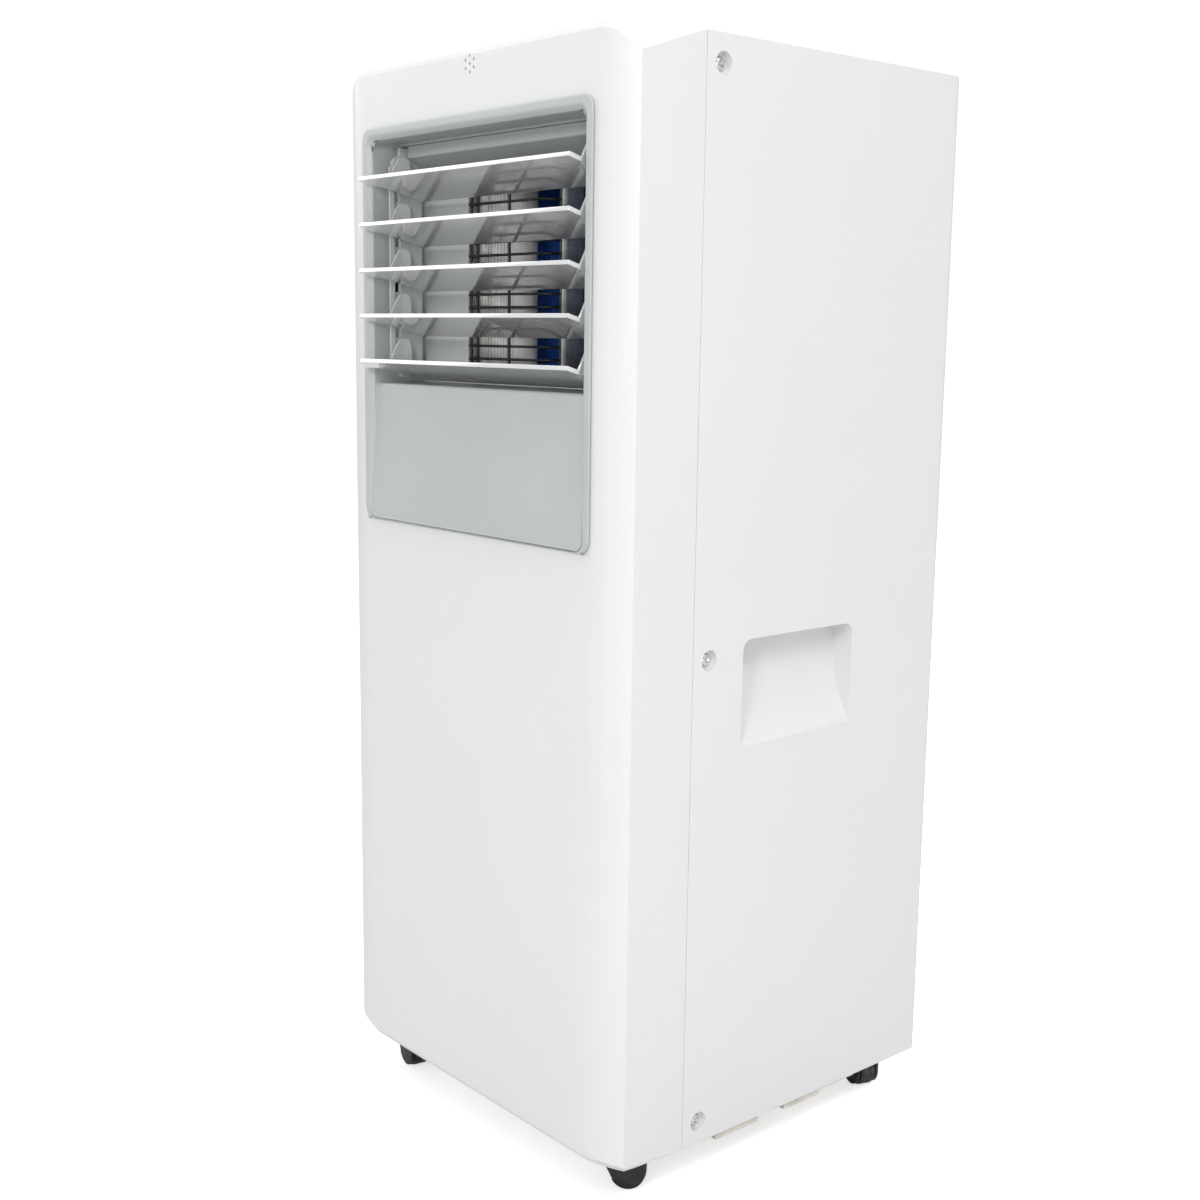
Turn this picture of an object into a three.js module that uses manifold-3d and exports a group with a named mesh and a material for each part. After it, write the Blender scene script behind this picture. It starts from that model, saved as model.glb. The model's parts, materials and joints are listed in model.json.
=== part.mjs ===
// Portable air conditioner: a tall cabinet on four casters, with a louvred cold-air outlet
// at the front, the warm-air collar at the back and the cooling circuit inside.
// Millimetres, +Z up, front towards -Y, origin on the floor at the middle of the footprint.

import * as THREE from 'three';
import { mergeVertices } from 'three/addons/utils/BufferGeometryUtils.js';
import { ConvexGeometry } from 'three/addons/geometries/ConvexGeometry.js';
import Module from 'manifold-3d';

const wasm = await Module();
wasm.setup();

// ---------------------------------------------------------------- driving sizes

const gap = 0.3;                 // between pieces that touch
const wall = 2.5;                // moulded shells

const cabinet = {
  width: 282,
  depth: 280,
  height: 650,
  seamFromFront: 56,             // front shell's depth
  cornerFlatTop: 23,             // crease to the flat front, at the top
  cornerFlatBottom: 36,          // the same at the bottom
  cornerDepth: 8.5,              // how far the crease lies behind the front
  shoulderDrop: 16,              // top bevel at the crease, running out at the seam
  shoulderInset: 10,
  edge: 3,                       // small bevel on the other edges
  backRadius: 5,
};

const outlet = {
  width: 228,                    // over the trim
  height: 248.8,
  drop: 36,                      // cabinet top down to the trim
  trim: 7.8,
  trimProud: 2.2,
  trimRadius: 8,
  duct: 3,                       // wall of the duct behind the trim
  depth: 40,                     // front face to the back wall
  ledgeDrop: 3.4,                // lowest blade's rear edge down to the ledge
  ledgeThick: 6,
  panelRecess: 2.6,              // the sloping panel's top edge, behind the front
  sillRise: 1.5,                 // trim's lower edge up to the sloping panel
  flare: 3,                      // chamfer round the inside of the trim
  hoodDepth: 19,                 // thickening under the ceiling, at the back
  hoodDrop: 9,
  sleeve: 4.4,                   // trim's edge to the outside of the duct
  windowLeft: 49,                // from the duct's left wall to the window
  windowRight: 8,
  windowTop: 20,                 // below the ceiling
  slotDepth: 14,
};

const louvre = {
  count: 5,
  pitch: 28.5,
  firstDrop: 30.2,               // top of the trim down to the first front edge
  reach: 11,                     // front edges stand this far proud of the cabinet
  chord: 41.7,
  thick: 2.6,
  tilt: 16,                      // degrees, front edge up
  endGap: 0.8,
  endStraight: 9,
  notch: 10.5,
  notchAt: 16,
  pivotBack: 27.1,               // from the front edge
  pivotUp: 0.323,                // share of the pitch, above the front edge
  pinRadius: 2.2,
  pinFit: 0.4,
  sweepClear: 0.9,               // round the lowest blade's rear edge
  rearRelief: 1.5,               // rear corners clear the ears of the blade below
  reliefAt: 36.5,
  ear: 2,
  linkBack: -7,                  // link pin from the pivot
  linkUp: -6,
  linkPin: 1.3,
  linkWidth: 3.6,
  linkThick: 1.6,
};

const guard = { wire: 1.7, pitch: 8, bend: 12, bendSteps: 4, straight: 65, uprights: [7, 40] };
const wheel = {
  radius: 32,
  fromWindow: -25.8,             // axis to the window's left edge
  y: -62.4,
  ring: 2,
  shaft: 4,
  shaftFit: 0.4,
  shaftReach: 11,
  lift: 3,                       // above the ledge
};
const deck = { drop: 8, thick: 4, rim: 8, behindCoil: 12 };
const coil = { width: 240, depth: 32, height: 150, y: -22 };
const handle = {
  fromSeam: 41,
  length: 98,
  height: 65,
  top: 310,                      // above the cabinet's lower edge
  depth: 15,
  backHeight: 27,
  corner: 7,
  rampSteps: 7,
};
const screw = {
  recess: 6.2,
  recessDepth: 4,
  head: 3.9,
  headHeight: 1.8,
  shank: 1.8,
  length: 12,
  setBack: 13,                   // behind the seam
};
const screwPlaces = { low: 14, middle: 301, belowTop: 16 };
const panel = { width: 224, depth: 182, frontEdge: 28, thick: 3, corner: 10 };
const button = { radius: 7, pitch: 26, travel: 1.5, proud: 1.2, fit: 0.4, y: -88 };
const display = { width: 64, depth: 26, y: -50 };
const vent = { holes: 6, radius: 4.6, hole: 0.95, drop: 8.3 };
const rearGrille = { width: 214, upperDrop: 50, upperLift: 8, lowerLift: 45, lowerDrop: 15, thick: 3 };
const slat = { pitch: 14, width: 7 };
const collar = {
  z: 300,
  outer: 72,
  wall: 7,
  proud: 11,
  inside: 8,                     // behind the back face
  flange: 8,
  flangeThick: 3,
  bars: [-40, 0, 40],            // from the middle
  barWidth: 2,
  barDepth: 3,
};
const blowerMotor = { radius: 28, height: 58, neck: 10, below: 66, bore: 11 };
const fanMotor = { radius: 26, height: 42, neck: 10, bore: 12, reach: 22 };
const compressor = { radius: 50, height: 154, x: 54, y: -34, foot: 8 };
const accumulator = { radius: 17, height: 96, x: -22, lift: 60 };
const pipes = { discharge: 3.2, suction: 3.6, outletX: 118, inletX: -126, inletY: 30 };
const capacitor = { x: -122, y: -118, width: 60, depth: 66, height: 108, lift: 60 };
const condenser = { width: 216, depth: 22, height: 150, y: 92, z: 42 };
const fan = { radius: 60, depth: 38, y: 62, hub: 18, bladeDepth: 14, shaft: 4, shaftFit: 0.4 };
const basePan = {
  height: 34,
  floor: 3,
  lift: 1.5,                     // above the cabinet's lower edge
  padDrop: 6,
  padInset: 3,
  padWidth: 76,
  pads: [[-52, -14, 1], [10, 44, 1], [44, 78, 0.5]],   // from, to, share of the drop
  socket: 9,                     // radius of a caster's socket
};
const caster = {
  inset: 31,
  insetY: 28,
  wheel: 11.5,
  width: 11,
  trail: 9,
  stem: 3.6,
  cheek: 2.4,
  hood: 2.5,                     // over the wheel
  crown: 2,                      // top of the wheel to the cabinet's lower edge
  fit: 0.4,
  axle: 2,
  fork: 8,                       // in front of the stem
  sides: 20,
};
const casterTurn = { front_right: 45, front_left: -10, back_right: -20, back_left: 30 };
const plug = { radius: 9, head: 12, headThick: 4, shank: 14, z: 22, x: -78, upperZ: 228, upperX: -108 };
const gland = { radius: 9, bore: 3.6, shank: 7, flange: 3, flangeThick: 2, nose: 6, x: 104, z: 230 };

// ---------------------------------------------------------------- worked-out places

const halfWidth = cabinet.width / 2;
const front = -cabinet.depth / 2;
const back = cabinet.depth / 2;
const bottom = caster.wheel * 2 + caster.crown;
const top = bottom + cabinet.height;
const seam = front + cabinet.seamFromFront;

const tilt = THREE.MathUtils.degToRad(louvre.tilt);

const trim = {
  top: top - outlet.drop,
  bottom: top - outlet.drop - outlet.height,
};

function bladeFrontHeight(index) {
  return trim.top - louvre.firstDrop - index * louvre.pitch;
}

const duct = {
  outer: outlet.width / 2 - outlet.sleeve,
  inner: outlet.width / 2 - outlet.trim,
  ceiling: trim.top - outlet.trim,
  sill: trim.bottom + outlet.sillRise,
  ledge: bladeFrontHeight(louvre.count - 1) - louvre.chord * Math.sin(tilt) - outlet.ledgeDrop,
  back: front + outlet.depth,
};

const windowBox = {
  left: -duct.inner + outlet.windowLeft,
  right: duct.inner - outlet.windowRight,
  bottom: duct.ledge + 5,
  top: duct.ceiling - outlet.windowTop,
};

const wheelX = windowBox.left + wheel.fromWindow;
const wheelBottom = duct.ledge + wheel.lift;
const wheelHeight = windowBox.top + 4 - wheelBottom;
const deckZ = duct.ledge - deck.drop;
const collarZ = bottom + collar.z;
const collarBore = collar.outer - collar.wall;
const collarFlange = collar.outer + collar.flange;

const upperGrille = [collarZ + collarFlange + rearGrille.upperLift, top - rearGrille.upperDrop];
const lowerGrille = [bottom + rearGrille.lowerLift, collarZ - collarFlange - rearGrille.lowerDrop];
const screwHeights = [
  bottom + screwPlaces.low,
  bottom + screwPlaces.middle,
  top - screwPlaces.belowTop,
];

// ---------------------------------------------------------------- solid helpers

function solid(geometry) {
  const plain = geometry.index ? geometry.toNonIndexed() : geometry.clone();
  plain.deleteAttribute('normal');
  plain.deleteAttribute('uv');
  const merged = mergeVertices(plain, 1e-4);
  return new wasm.Manifold(new wasm.Mesh({
    numProp: 3,
    vertProperties: new Float32Array(merged.attributes.position.array),
    triVerts: new Uint32Array(merged.index.array),
  }));
}

function box(x0, x1, y0, y1, z0, z1) {
  const geometry = new THREE.BoxGeometry(x1 - x0, y1 - y0, z1 - z0);
  geometry.translate((x0 + x1) / 2, (y0 + y1) / 2, (z0 + z1) / 2);
  return solid(geometry);
}

// A round bar from a point along +X, +Y or +Z.
function rod(axis, radius, x, y, z, length, sides = 20) {
  const geometry = new THREE.CylinderGeometry(radius, radius, length, sides);
  geometry.rotateY(Math.PI / sides);
  geometry.translate(0, length / 2, 0);
  if (axis === 'x') geometry.rotateZ(-Math.PI / 2);
  if (axis === 'z') geometry.rotateX(Math.PI / 2);
  geometry.translate(x, y, z);
  return solid(geometry);
}

function roundedOutline(x0, x1, y0, y1, radius) {
  const outline = new THREE.Shape();
  outline.moveTo(x0 + radius, y0);
  outline.lineTo(x1 - radius, y0);
  outline.absarc(x1 - radius, y0 + radius, radius, -Math.PI / 2, 0);
  outline.lineTo(x1, y1 - radius);
  outline.absarc(x1 - radius, y1 - radius, radius, 0, Math.PI / 2);
  outline.lineTo(x0 + radius, y1);
  outline.absarc(x0 + radius, y1 - radius, radius, Math.PI / 2, Math.PI);
  outline.lineTo(x0, y0 + radius);
  outline.absarc(x0 + radius, y0 + radius, radius, Math.PI, Math.PI * 1.5);
  return outline;
}

function outlineOf(points) {
  return new THREE.Shape(points.map(([a, b]) => new THREE.Vector2(a, b)));
}

// Extrudes an outline drawn in (x, y) up from z0 to z1.
function slabZ(shape, z0, z1, curveSegments = 2) {
  const geometry = new THREE.ExtrudeGeometry(shape, { depth: z1 - z0, bevelEnabled: false, curveSegments });
  geometry.translate(0, 0, z0);
  return solid(geometry);
}

// Extrudes an outline drawn in (x, z) from y0 to y1.
function slabY(shape, y0, y1, curveSegments = 2) {
  const geometry = new THREE.ExtrudeGeometry(shape, { depth: y1 - y0, bevelEnabled: false, curveSegments });
  geometry.rotateX(Math.PI / 2);
  geometry.translate(0, y1, 0);
  return solid(geometry);
}

// Extrudes an outline drawn in (y, z) from x0 to x1.
function slabX(shape, x0, x1, curveSegments = 2) {
  const geometry = new THREE.ExtrudeGeometry(shape, { depth: x1 - x0, bevelEnabled: false, curveSegments });
  geometry.rotateX(Math.PI / 2);
  geometry.rotateZ(Math.PI / 2);
  geometry.translate(x0, 0, 0);
  return solid(geometry);
}

function hull(points) {
  return solid(new ConvexGeometry(points.map(([x, y, z]) => new THREE.Vector3(x, y, z))));
}

function turned(profile, sides = 24) {
  const points = profile.map(([r, h]) => new THREE.Vector2(r, h));
  const geometry = new THREE.LatheGeometry(points, sides);
  geometry.rotateX(Math.PI / 2);
  return solid(geometry);
}

function union(pieces) {
  return pieces.reduce((sum, piece) => sum.add(piece));
}

function mirrorX(piece) {
  return piece.mirror([1, 0, 0]);
}

// ---------------------------------------------------------------- the assembly

const group = new THREE.Group();

const finish = {
  shell: { color: 0xe9ebec, roughness: 0.42, metalness: 0 },
  outletGrey: { color: 0xbfc4c3, roughness: 0.4, metalness: 0 },
  louvreWhite: { color: 0xe4e7e9, roughness: 0.25, metalness: 0 },
  linkGrey: { color: 0xc9cdce, roughness: 0.35, metalness: 0 },
  black: { color: 0x151416, roughness: 0.45, metalness: 0 },
  casterBlack: { color: 0x1b1b1f, roughness: 0.4, metalness: 0 },
  wheelRubber: { color: 0x26262a, roughness: 0.6, metalness: 0 },
  offWhite: { color: 0xdbd5c9, roughness: 0.55, metalness: 0 },
  blueFin: { color: 0x123c8c, roughness: 0.35, metalness: 0.5 },
  copper: { color: 0xb4693c, roughness: 0.3, metalness: 1 },
  screwSteel: { color: 0xb9bcbf, roughness: 0.25, metalness: 1 },
  darkSteel: { color: 0x3a3c40, roughness: 0.45, metalness: 0.6 },
  zinc: { color: 0x9aa0a4, roughness: 0.4, metalness: 0.8 },
  beige: { color: 0xcdc8be, roughness: 0.5, metalness: 0 },
  glossDark: { color: 0x101216, roughness: 0.12, metalness: 0 },
  board: { color: 0x1f5a36, roughness: 0.5, metalness: 0 },
  mesh: { color: 0x6c7278, roughness: 0.8, metalness: 0 },
};

function addNode(name, piece, look) {
  const mesh = piece.getMesh();
  const geometry = new THREE.BufferGeometry();
  geometry.setAttribute('position', new THREE.BufferAttribute(new Float32Array(mesh.vertProperties), 3));
  geometry.setIndex(new THREE.BufferAttribute(new Uint32Array(mesh.triVerts), 1));
  const node = new THREE.Mesh(geometry, new THREE.MeshStandardMaterial(finish[look]));
  node.name = name;
  group.add(node);
}

// ---------------------------------------------------------------- cabinet shells

const cornerSteps = 8;

// Half of the front shell's outline on the +X side, from the flat to the seam.
// level is 0 at the cabinet's lower edge and 1 at its top.
function cornerPoints(level, inset) {
  const spread = cabinet.cornerFlatBottom + (cabinet.cornerFlatTop - cabinet.cornerFlatBottom) * level;
  const points = [];
  for (let i = 0; i <= cornerSteps; i += 1) {
    const s = i / cornerSteps;
    const x = halfWidth - inset - spread * (1 - s);
    const y = front + inset + cabinet.cornerDepth * s * s;
    points.push({ x, y, s });
  }
  return points;
}

function bothSides(points) {
  return points.concat(points.map(([x, y, z]) => [-x, y, z]));
}

function frontHull(inset, z0, z1, rear) {
  const points = [];
  const bevel = cabinet.edge;
  for (const { x, y, s } of cornerPoints(0, inset)) {
    points.push([x - (s > 0 ? bevel * s : 0), y + bevel, z0]);
    points.push([x, y, z0 + bevel * 1.6]);
  }
  for (const { x, y, s } of cornerPoints(1, inset)) {
    const drop = bevel + (cabinet.shoulderDrop - bevel) * s * s;
    points.push([x, y, z1 - drop]);
    points.push([x - cabinet.shoulderInset * s, y + bevel * (1 - s * 0.5), z1]);
  }
  const side = halfWidth - inset;
  points.push([side, rear, z0]);
  points.push([side, rear, z1]);
  return hull(bothSides(points));
}

function rearHull(inset, z0, z1, frontY) {
  const points = [];
  const side = halfWidth - inset;
  const radius = cabinet.backRadius;
  for (const z of [z0, z1]) {
    points.push([side, frontY, z]);
    for (let i = 0; i <= 3; i += 1) {
      const a = (Math.PI / 2) * (i / 3);
      points.push([side - radius * (1 - Math.cos(a)), back - inset - radius * (1 - Math.sin(a)), z]);
    }
  }
  return hull(bothSides(points));
}

function panelOutline(clearance) {
  const y0 = front + panel.frontEdge;
  return roundedOutline(
    -panel.width / 2 - clearance, panel.width / 2 + clearance,
    y0 - clearance, y0 + panel.depth + clearance, panel.corner,
  );
}

function ventHoles() {
  const z = top - vent.drop;
  const holes = [rod('y', vent.hole, 0, front - 1, z, wall + 2, 8)];
  for (let i = 0; i < vent.holes; i += 1) {
    const a = Math.PI / 6 + (i * Math.PI * 2) / vent.holes;
    const x = vent.radius * Math.cos(a);
    holes.push(rod('y', vent.hole, x, front - 1, z + vent.radius * Math.sin(a), wall + 2, 8));
  }
  return union(holes);
}

function frontShell() {
  const lip = wall * 2;
  let shell = frontHull(0, bottom, top, seam - gap);
  shell = shell.subtract(frontHull(wall, bottom - lip, top - wall, seam + 1));
  const opening = duct.outer + gap;
  const hole = slabY(
    roundedOutline(-opening, opening, trim.bottom + outlet.sleeve - gap, trim.top - outlet.sleeve + gap, 6),
    front - 5, front + 12,
  );
  shell = shell.subtract(hole).subtract(ventHoles());
  return shell.subtract(slabZ(panelOutline(gap), top - wall - 1, top + 1));
}

function handlePocket(offset, outside) {
  const y0 = seam + handle.fromSeam - offset;
  const y1 = seam + handle.fromSeam + handle.length + offset;
  const face = halfWidth + outside;
  const deep = halfWidth - handle.depth - offset;
  const zTop = bottom + handle.top + offset;
  const zBend = bottom + handle.top - handle.backHeight - offset * 0.4;
  const zLow = bottom + handle.top - handle.height - offset;
  const profile = [[face, zTop], [deep + 3, zTop], [deep, zTop - 3], [deep, zBend]];
  for (let i = 1; i <= handle.rampSteps; i += 1) {
    const t = i / handle.rampSteps;
    profile.push([deep + (halfWidth - deep) * t ** 1.35, zBend + (zLow - zBend) * t ** 0.85]);
  }
  profile.push([face, zLow - outside * 0.5]);
  const rounded = roundedOutline(y0, y1, zLow - 3, zTop, handle.corner + offset);
  return slabY(outlineOf(profile), y0, y1).intersect(slabX(rounded, deep - 1, face + 1, 3));
}

function screwRecess(height) {
  const y = seam + screw.setBack;
  return rod('x', screw.recess, halfWidth - screw.recessDepth, y, height, screw.recessDepth + 1, 14)
    .add(rod('x', screw.shank + gap, halfWidth - screw.length - 2, y, height, screw.length + 8, 8));
}

// Post inside the rear shell that the screw goes into.
function screwPost(height) {
  const y = seam + screw.setBack;
  const x = halfWidth - screw.recessDepth - 3;
  return rod('x', screw.recess + 1.5, x, y, height, screw.recessDepth + 2, 8);
}

function grilleOpening([z0, z1], clearance) {
  const half = rearGrille.width / 2 + clearance;
  return box(-half, half, back - wall - 4, back + 4, z0 - clearance, z1 + clearance);
}

function rearShell() {
  let shell = rearHull(0, bottom, top, seam);
  shell = shell.subtract(rearHull(wall, bottom - 5, top - wall, seam - 5));
  for (const flip of [false, true]) {
    const turn = flip ? mirrorX : (piece) => piece;
    shell = shell.add(turn(handlePocket(wall, 0).intersect(box(0, halfWidth, seam, back, bottom, top))));
    shell = shell.subtract(turn(handlePocket(0, 2)));
    for (const height of screwHeights) {
      shell = shell.add(turn(screwPost(height))).subtract(turn(screwRecess(height)));
    }
  }
  shell = shell.subtract(grilleOpening(upperGrille, gap));
  shell = shell.subtract(grilleOpening(lowerGrille, gap));
  shell = shell.subtract(rod('y', collar.outer + gap, 0, back - 6, collarZ, 12, 32));
  shell = shell.subtract(rod('y', plug.radius + gap, plug.upperX, back - 6, bottom + plug.upperZ, 12, 14));
  shell = shell.subtract(rod('y', gland.radius + gap, gland.x, back - 6, bottom + gland.z, 12, 14));
  shell = shell.subtract(rod('y', plug.radius + gap, plug.x, back - 6, bottom + plug.z, 12, 14));
  return shell.subtract(slabZ(panelOutline(gap), top - wall - 1, top + 1));
}

addNode('front_shell', frontShell(), 'shell');
addNode('rear_shell', rearShell(), 'shell');

function sideScrew(height) {
  const y = seam + screw.setBack;
  const z = height;
  const seat = halfWidth - screw.recessDepth + gap;
  const slot = screw.head * 0.55;
  const head = rod('x', screw.head, seat, y, z, screw.headHeight, 12);
  const cross = box(seat + 0.8, seat + 4, y - slot, y + slot, z - 0.5, z + 0.5)
    .add(box(seat + 0.8, seat + 4, y - 0.5, y + 0.5, z - slot, z + slot));
  return head.subtract(cross).add(rod('x', screw.shank, seat - screw.length, y, z, screw.length + 0.5, 6));
}

screwHeights.forEach((height, index) => {
  addNode(`side_screw_right_${index + 1}`, sideScrew(height), 'screwSteel');
  addNode(`side_screw_left_${index + 1}`, mirrorX(sideScrew(height)), 'screwSteel');
});

// ---------------------------------------------------------------- top control panel

const buttonNames = ['power', 'mode', 'fan_speed', 'temperature_down', 'temperature_up', 'timer', 'sleep'];

function buttonX(index) {
  return (index - (buttonNames.length - 1) / 2) * button.pitch;
}

function topPanel() {
  const skirt = slabZ(panelOutline(-3), top - 9, top - panel.thick + 0.5);
  const inside = slabZ(panelOutline(-5.5), top - 12, top - panel.thick);
  let plate = slabZ(panelOutline(0), top - panel.thick, top).add(skirt.subtract(inside));
  buttonNames.forEach((name, index) => {
    plate = plate.subtract(rod('z', button.radius + button.fit, buttonX(index), button.y, top - 6, 9, 14));
  });
  const half = display.width / 2;
  const y0 = display.y - display.depth / 2;
  return plate.subtract(box(-half, half, y0, y0 + display.depth, top - 1.5, top + 1));
}

function displayLens() {
  const half = display.width / 2 - gap;
  const y0 = display.y - display.depth / 2 + gap;
  return slabZ(roundedOutline(-half, half, y0, y0 + display.depth - gap * 2, 3), top - 1.5 + gap, top + 0.2);
}

function buttonCap(index) {
  const z0 = top - 5.5;
  const flange = button.radius + 1.6;
  const cap = turned([
    [0, 0], [flange, 0], [flange, 1.2], [button.radius, 1.2],
    [button.radius, 6 + button.proud - 0.5], [0, 6 + button.proud - 0.5],
  ], 14);
  return cap.translate([buttonX(index), button.y, z0 - 0.5]);
}

addNode('top_panel', topPanel(), 'shell');
addNode('display_lens', displayLens(), 'glossDark');
buttonNames.forEach((name, index) => addNode(`${name}_button`, buttonCap(index), 'louvreWhite'));

function controlBoard() {
  const half = panel.width / 2 - 12;
  const y0 = front + panel.frontEdge + 10;
  let plate = box(-half, half, y0, y0 + 74, top - 12, top - 10.4);
  plate = plate.add(box(-26, 26, display.y - 8, display.y + 8, top - 10.5, top - 5));
  plate = plate.add(box(60, 84, -58, -36, top - 18, top - 11.9));
  return plate;
}

addNode('control_board', controlBoard(), 'board');

// ---------------------------------------------------------------- cold-air outlet

const blade = {
  tip: front - louvre.reach + louvre.thick * Math.sin(tilt),
  end: duct.inner - louvre.endGap,
  sweep: Math.hypot(
    louvre.chord * Math.cos(tilt) - louvre.pivotBack,
    louvre.chord * Math.sin(tilt) + louvre.pivotUp * louvre.pitch + louvre.thick * Math.cos(tilt),
  ),
};
blade.earOuter = blade.end - louvre.notch + louvre.ear;

function pivotOf(index) {
  return { y: blade.tip + louvre.pivotBack, z: bladeFrontHeight(index) + louvre.pivotUp * louvre.pitch };
}

// The ledge has a shallow trough that the lowest blade's rear edge sweeps through.
function outletFrame() {
  const half = outlet.width / 2;
  const face = front - outlet.trimProud;
  const edge = roundedOutline(-half, half, trim.bottom, trim.top, outlet.trimRadius);
  const ring = slabY(edge, face, front - gap, 3);
  const sleeveBottom = trim.bottom + outlet.sleeve;
  const sleeve = roundedOutline(-duct.outer, duct.outer, sleeveBottom, trim.top - outlet.sleeve, 5);
  const body = slabY(sleeve, front - 1, duct.back);
  const mouth = roundedOutline(-duct.inner, duct.inner, duct.sill, duct.ceiling, 5);
  const wide = roundedOutline(
    -duct.inner - outlet.flare, duct.inner + outlet.flare, duct.sill, duct.ceiling + outlet.flare, 6,
  );
  const flare = hull([
    ...wide.getPoints(3).map(({ x, y }) => [x, face - 0.01, y]),
    ...mouth.getPoints(3).map(({ x, y }) => [x, face + outlet.flare, y]),
  ]);
  const clear = slabY(mouth, face - 1, duct.back + 1).add(flare);
  const lip = sleeveBottom + 4;
  const slope = slabX(outlineOf([
    [face + 0.4, duct.sill], [front + outlet.panelRecess, duct.ledge - 2],
    [front + outlet.panelRecess + 2, duct.ledge], [duct.back, duct.ledge],
    [duct.back, duct.ledge - outlet.ledgeThick],
    [front + outlet.panelRecess + outlet.duct + 2, duct.ledge - outlet.ledgeThick],
    [front + outlet.duct, lip], [front - gap, lip],
    [front - gap, duct.sill - 1], [face + 0.4, duct.sill - 1],
  ]), -duct.inner - outlet.flare, duct.inner + outlet.flare);
  const lowest = pivotOf(louvre.count - 1);
  const trough = rod(
    'x', blade.sweep + louvre.sweepClear, -duct.inner, lowest.y, lowest.z, duct.inner * 2, 64,
  );
  const slot = box(
    -duct.outer - 1, -duct.inner + 1,
    duct.back - outlet.slotDepth, duct.back - 2, duct.ledge + 6, duct.ceiling - 12,
  );
  const hoodFront = duct.back - outlet.hoodDepth;
  const roofZ = duct.ceiling + 1;
  const hoodRoof = box(-duct.inner - 1, duct.inner + 1, hoodFront, duct.back, roofZ - 3.5, roofZ);
  const hood = slabX(outlineOf([
    [hoodFront, duct.ceiling], [hoodFront, duct.ceiling - outlet.hoodDrop],
    [duct.back, windowBox.top - 1], [duct.back, duct.ceiling],
  ]), -blade.earOuter, blade.earOuter);
  return union([
    ring.add(body).subtract(clear), slope.subtract(trough), hoodRoof.add(hood),
  ]).subtract(slot);
}

function outletBackWall() {
  const y0 = duct.back + gap;
  const plate = box(-duct.outer, duct.outer, y0, y0 + wall, duct.ledge - 3, duct.ceiling + 3);
  return plate.subtract(box(
    windowBox.left, windowBox.right, duct.back - 2, duct.back + 8, windowBox.bottom, windowBox.top,
  ));
}

addNode('air_outlet_frame', outletFrame(), 'outletGrey');
addNode('outlet_back_wall', outletBackWall(), 'outletGrey');

function louvreBlade(index) {
  const inner = blade.end - louvre.notch;
  const rear = inner - louvre.rearRelief;
  const half = [
    [blade.end, 0], [blade.end, louvre.endStraight], [inner, louvre.notchAt],
    [inner, louvre.reliefAt - 1], [rear, louvre.reliefAt], [rear, louvre.chord - 2],
  ];
  const mirrored = half.map(([x, s]) => [-x, s]).reverse();
  let plate = slabZ(
    outlineOf([...half, [rear - 2, louvre.chord], [2 - rear, louvre.chord], ...mirrored]),
    -louvre.thick, 0,
  );
  plate = plate.rotate([-louvre.tilt, 0, 0]).translate([0, blade.tip, bladeFrontHeight(index)]);
  const pivot = pivotOf(index);
  const slope = Math.tan(tilt);
  const plateZ = (y) => bladeFrontHeight(index) - (y - blade.tip) * slope - 1;
  const ear = slabX(outlineOf([
    [pivot.y - 13, plateZ(pivot.y - 13)], [pivot.y + 7, plateZ(pivot.y + 7)],
    [pivot.y + 5, pivot.z + 1], [pivot.y + 2.5, pivot.z + 3.8], [pivot.y - 2.5, pivot.z + 3.8],
    [pivot.y - 6, pivot.z - 0.5],
  ]), inner - 0.1, blade.earOuter);
  const pin = rod('x', louvre.pinRadius, inner, pivot.y, pivot.z, 7, 8);
  plate = plate.add(ear).add(pin).add(mirrorX(ear)).add(mirrorX(pin));
  const linkY = pivot.y + louvre.linkBack;
  plate = plate.add(rod('x', louvre.linkPin, -blade.earOuter - 2.2, linkY, pivot.z + louvre.linkUp, 3, 6));
  if (index === louvre.count - 1) {
    const z = bladeFrontHeight(index);
    plate = plate.add(slabX(outlineOf([
      [blade.tip, z - 0.6], [blade.tip + 1, z - 5.5], [blade.tip + 3, z - 6.2], [blade.tip + 9, z - 3.6],
    ]), -blade.end + 1, -blade.end + 20));
  }
  return plate;
}

for (let index = 0; index < louvre.count; index += 1) {
  addNode(`louvre_blade_${index + 1}`, louvreBlade(index), 'louvreWhite');
}

const linkFace = -blade.earOuter - 0.6;

function linkBar() {
  const half = louvre.linkWidth / 2;
  const first = pivotOf(0);
  const last = pivotOf(louvre.count - 1);
  const y = first.y + louvre.linkBack;
  const z0 = last.z + louvre.linkUp - 4;
  const z1 = first.z + louvre.linkUp + 4;
  let bar = box(linkFace - louvre.linkThick, linkFace, y - half, y + half, z0, z1);
  for (let index = 0; index < louvre.count; index += 1) {
    const z = pivotOf(index).z + louvre.linkUp;
    bar = bar.subtract(rod('x', louvre.linkPin + gap * 0.6, linkFace - 3, y, z, 4, 8));
  }
  return bar;
}

addNode('louvre_link_bar', linkBar(), 'linkGrey');

function louvreBracket() {
  const x1 = linkFace - louvre.linkThick - 0.4;
  const x0 = x1 - 3;
  const y0 = pivotOf(0).y;
  const z1 = duct.ceiling - 3;
  let plate = box(x0, x1, y0, duct.back - 6, duct.ledge + 3, z1);
  const boss = louvre.pinRadius + louvre.pinFit + 2.8;
  for (let index = 0; index < louvre.count; index += 1) {
    plate = plate.add(rod('x', boss, x0, y0, pivotOf(index).z, 3, 10));
  }
  for (let index = 0; index < louvre.count; index += 1) {
    const hole = louvre.pinRadius + louvre.pinFit;
    plate = plate.subtract(rod('x', hole, x0 - 1, y0, pivotOf(index).z, 5, 8));
  }
  for (const z of [duct.ledge + 6, z1 - 8]) {
    plate = plate.add(box(-duct.inner + gap, x0 + 0.5, duct.back - 12, duct.back - 7, z, z + 5));
  }
  return plate;
}

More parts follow.
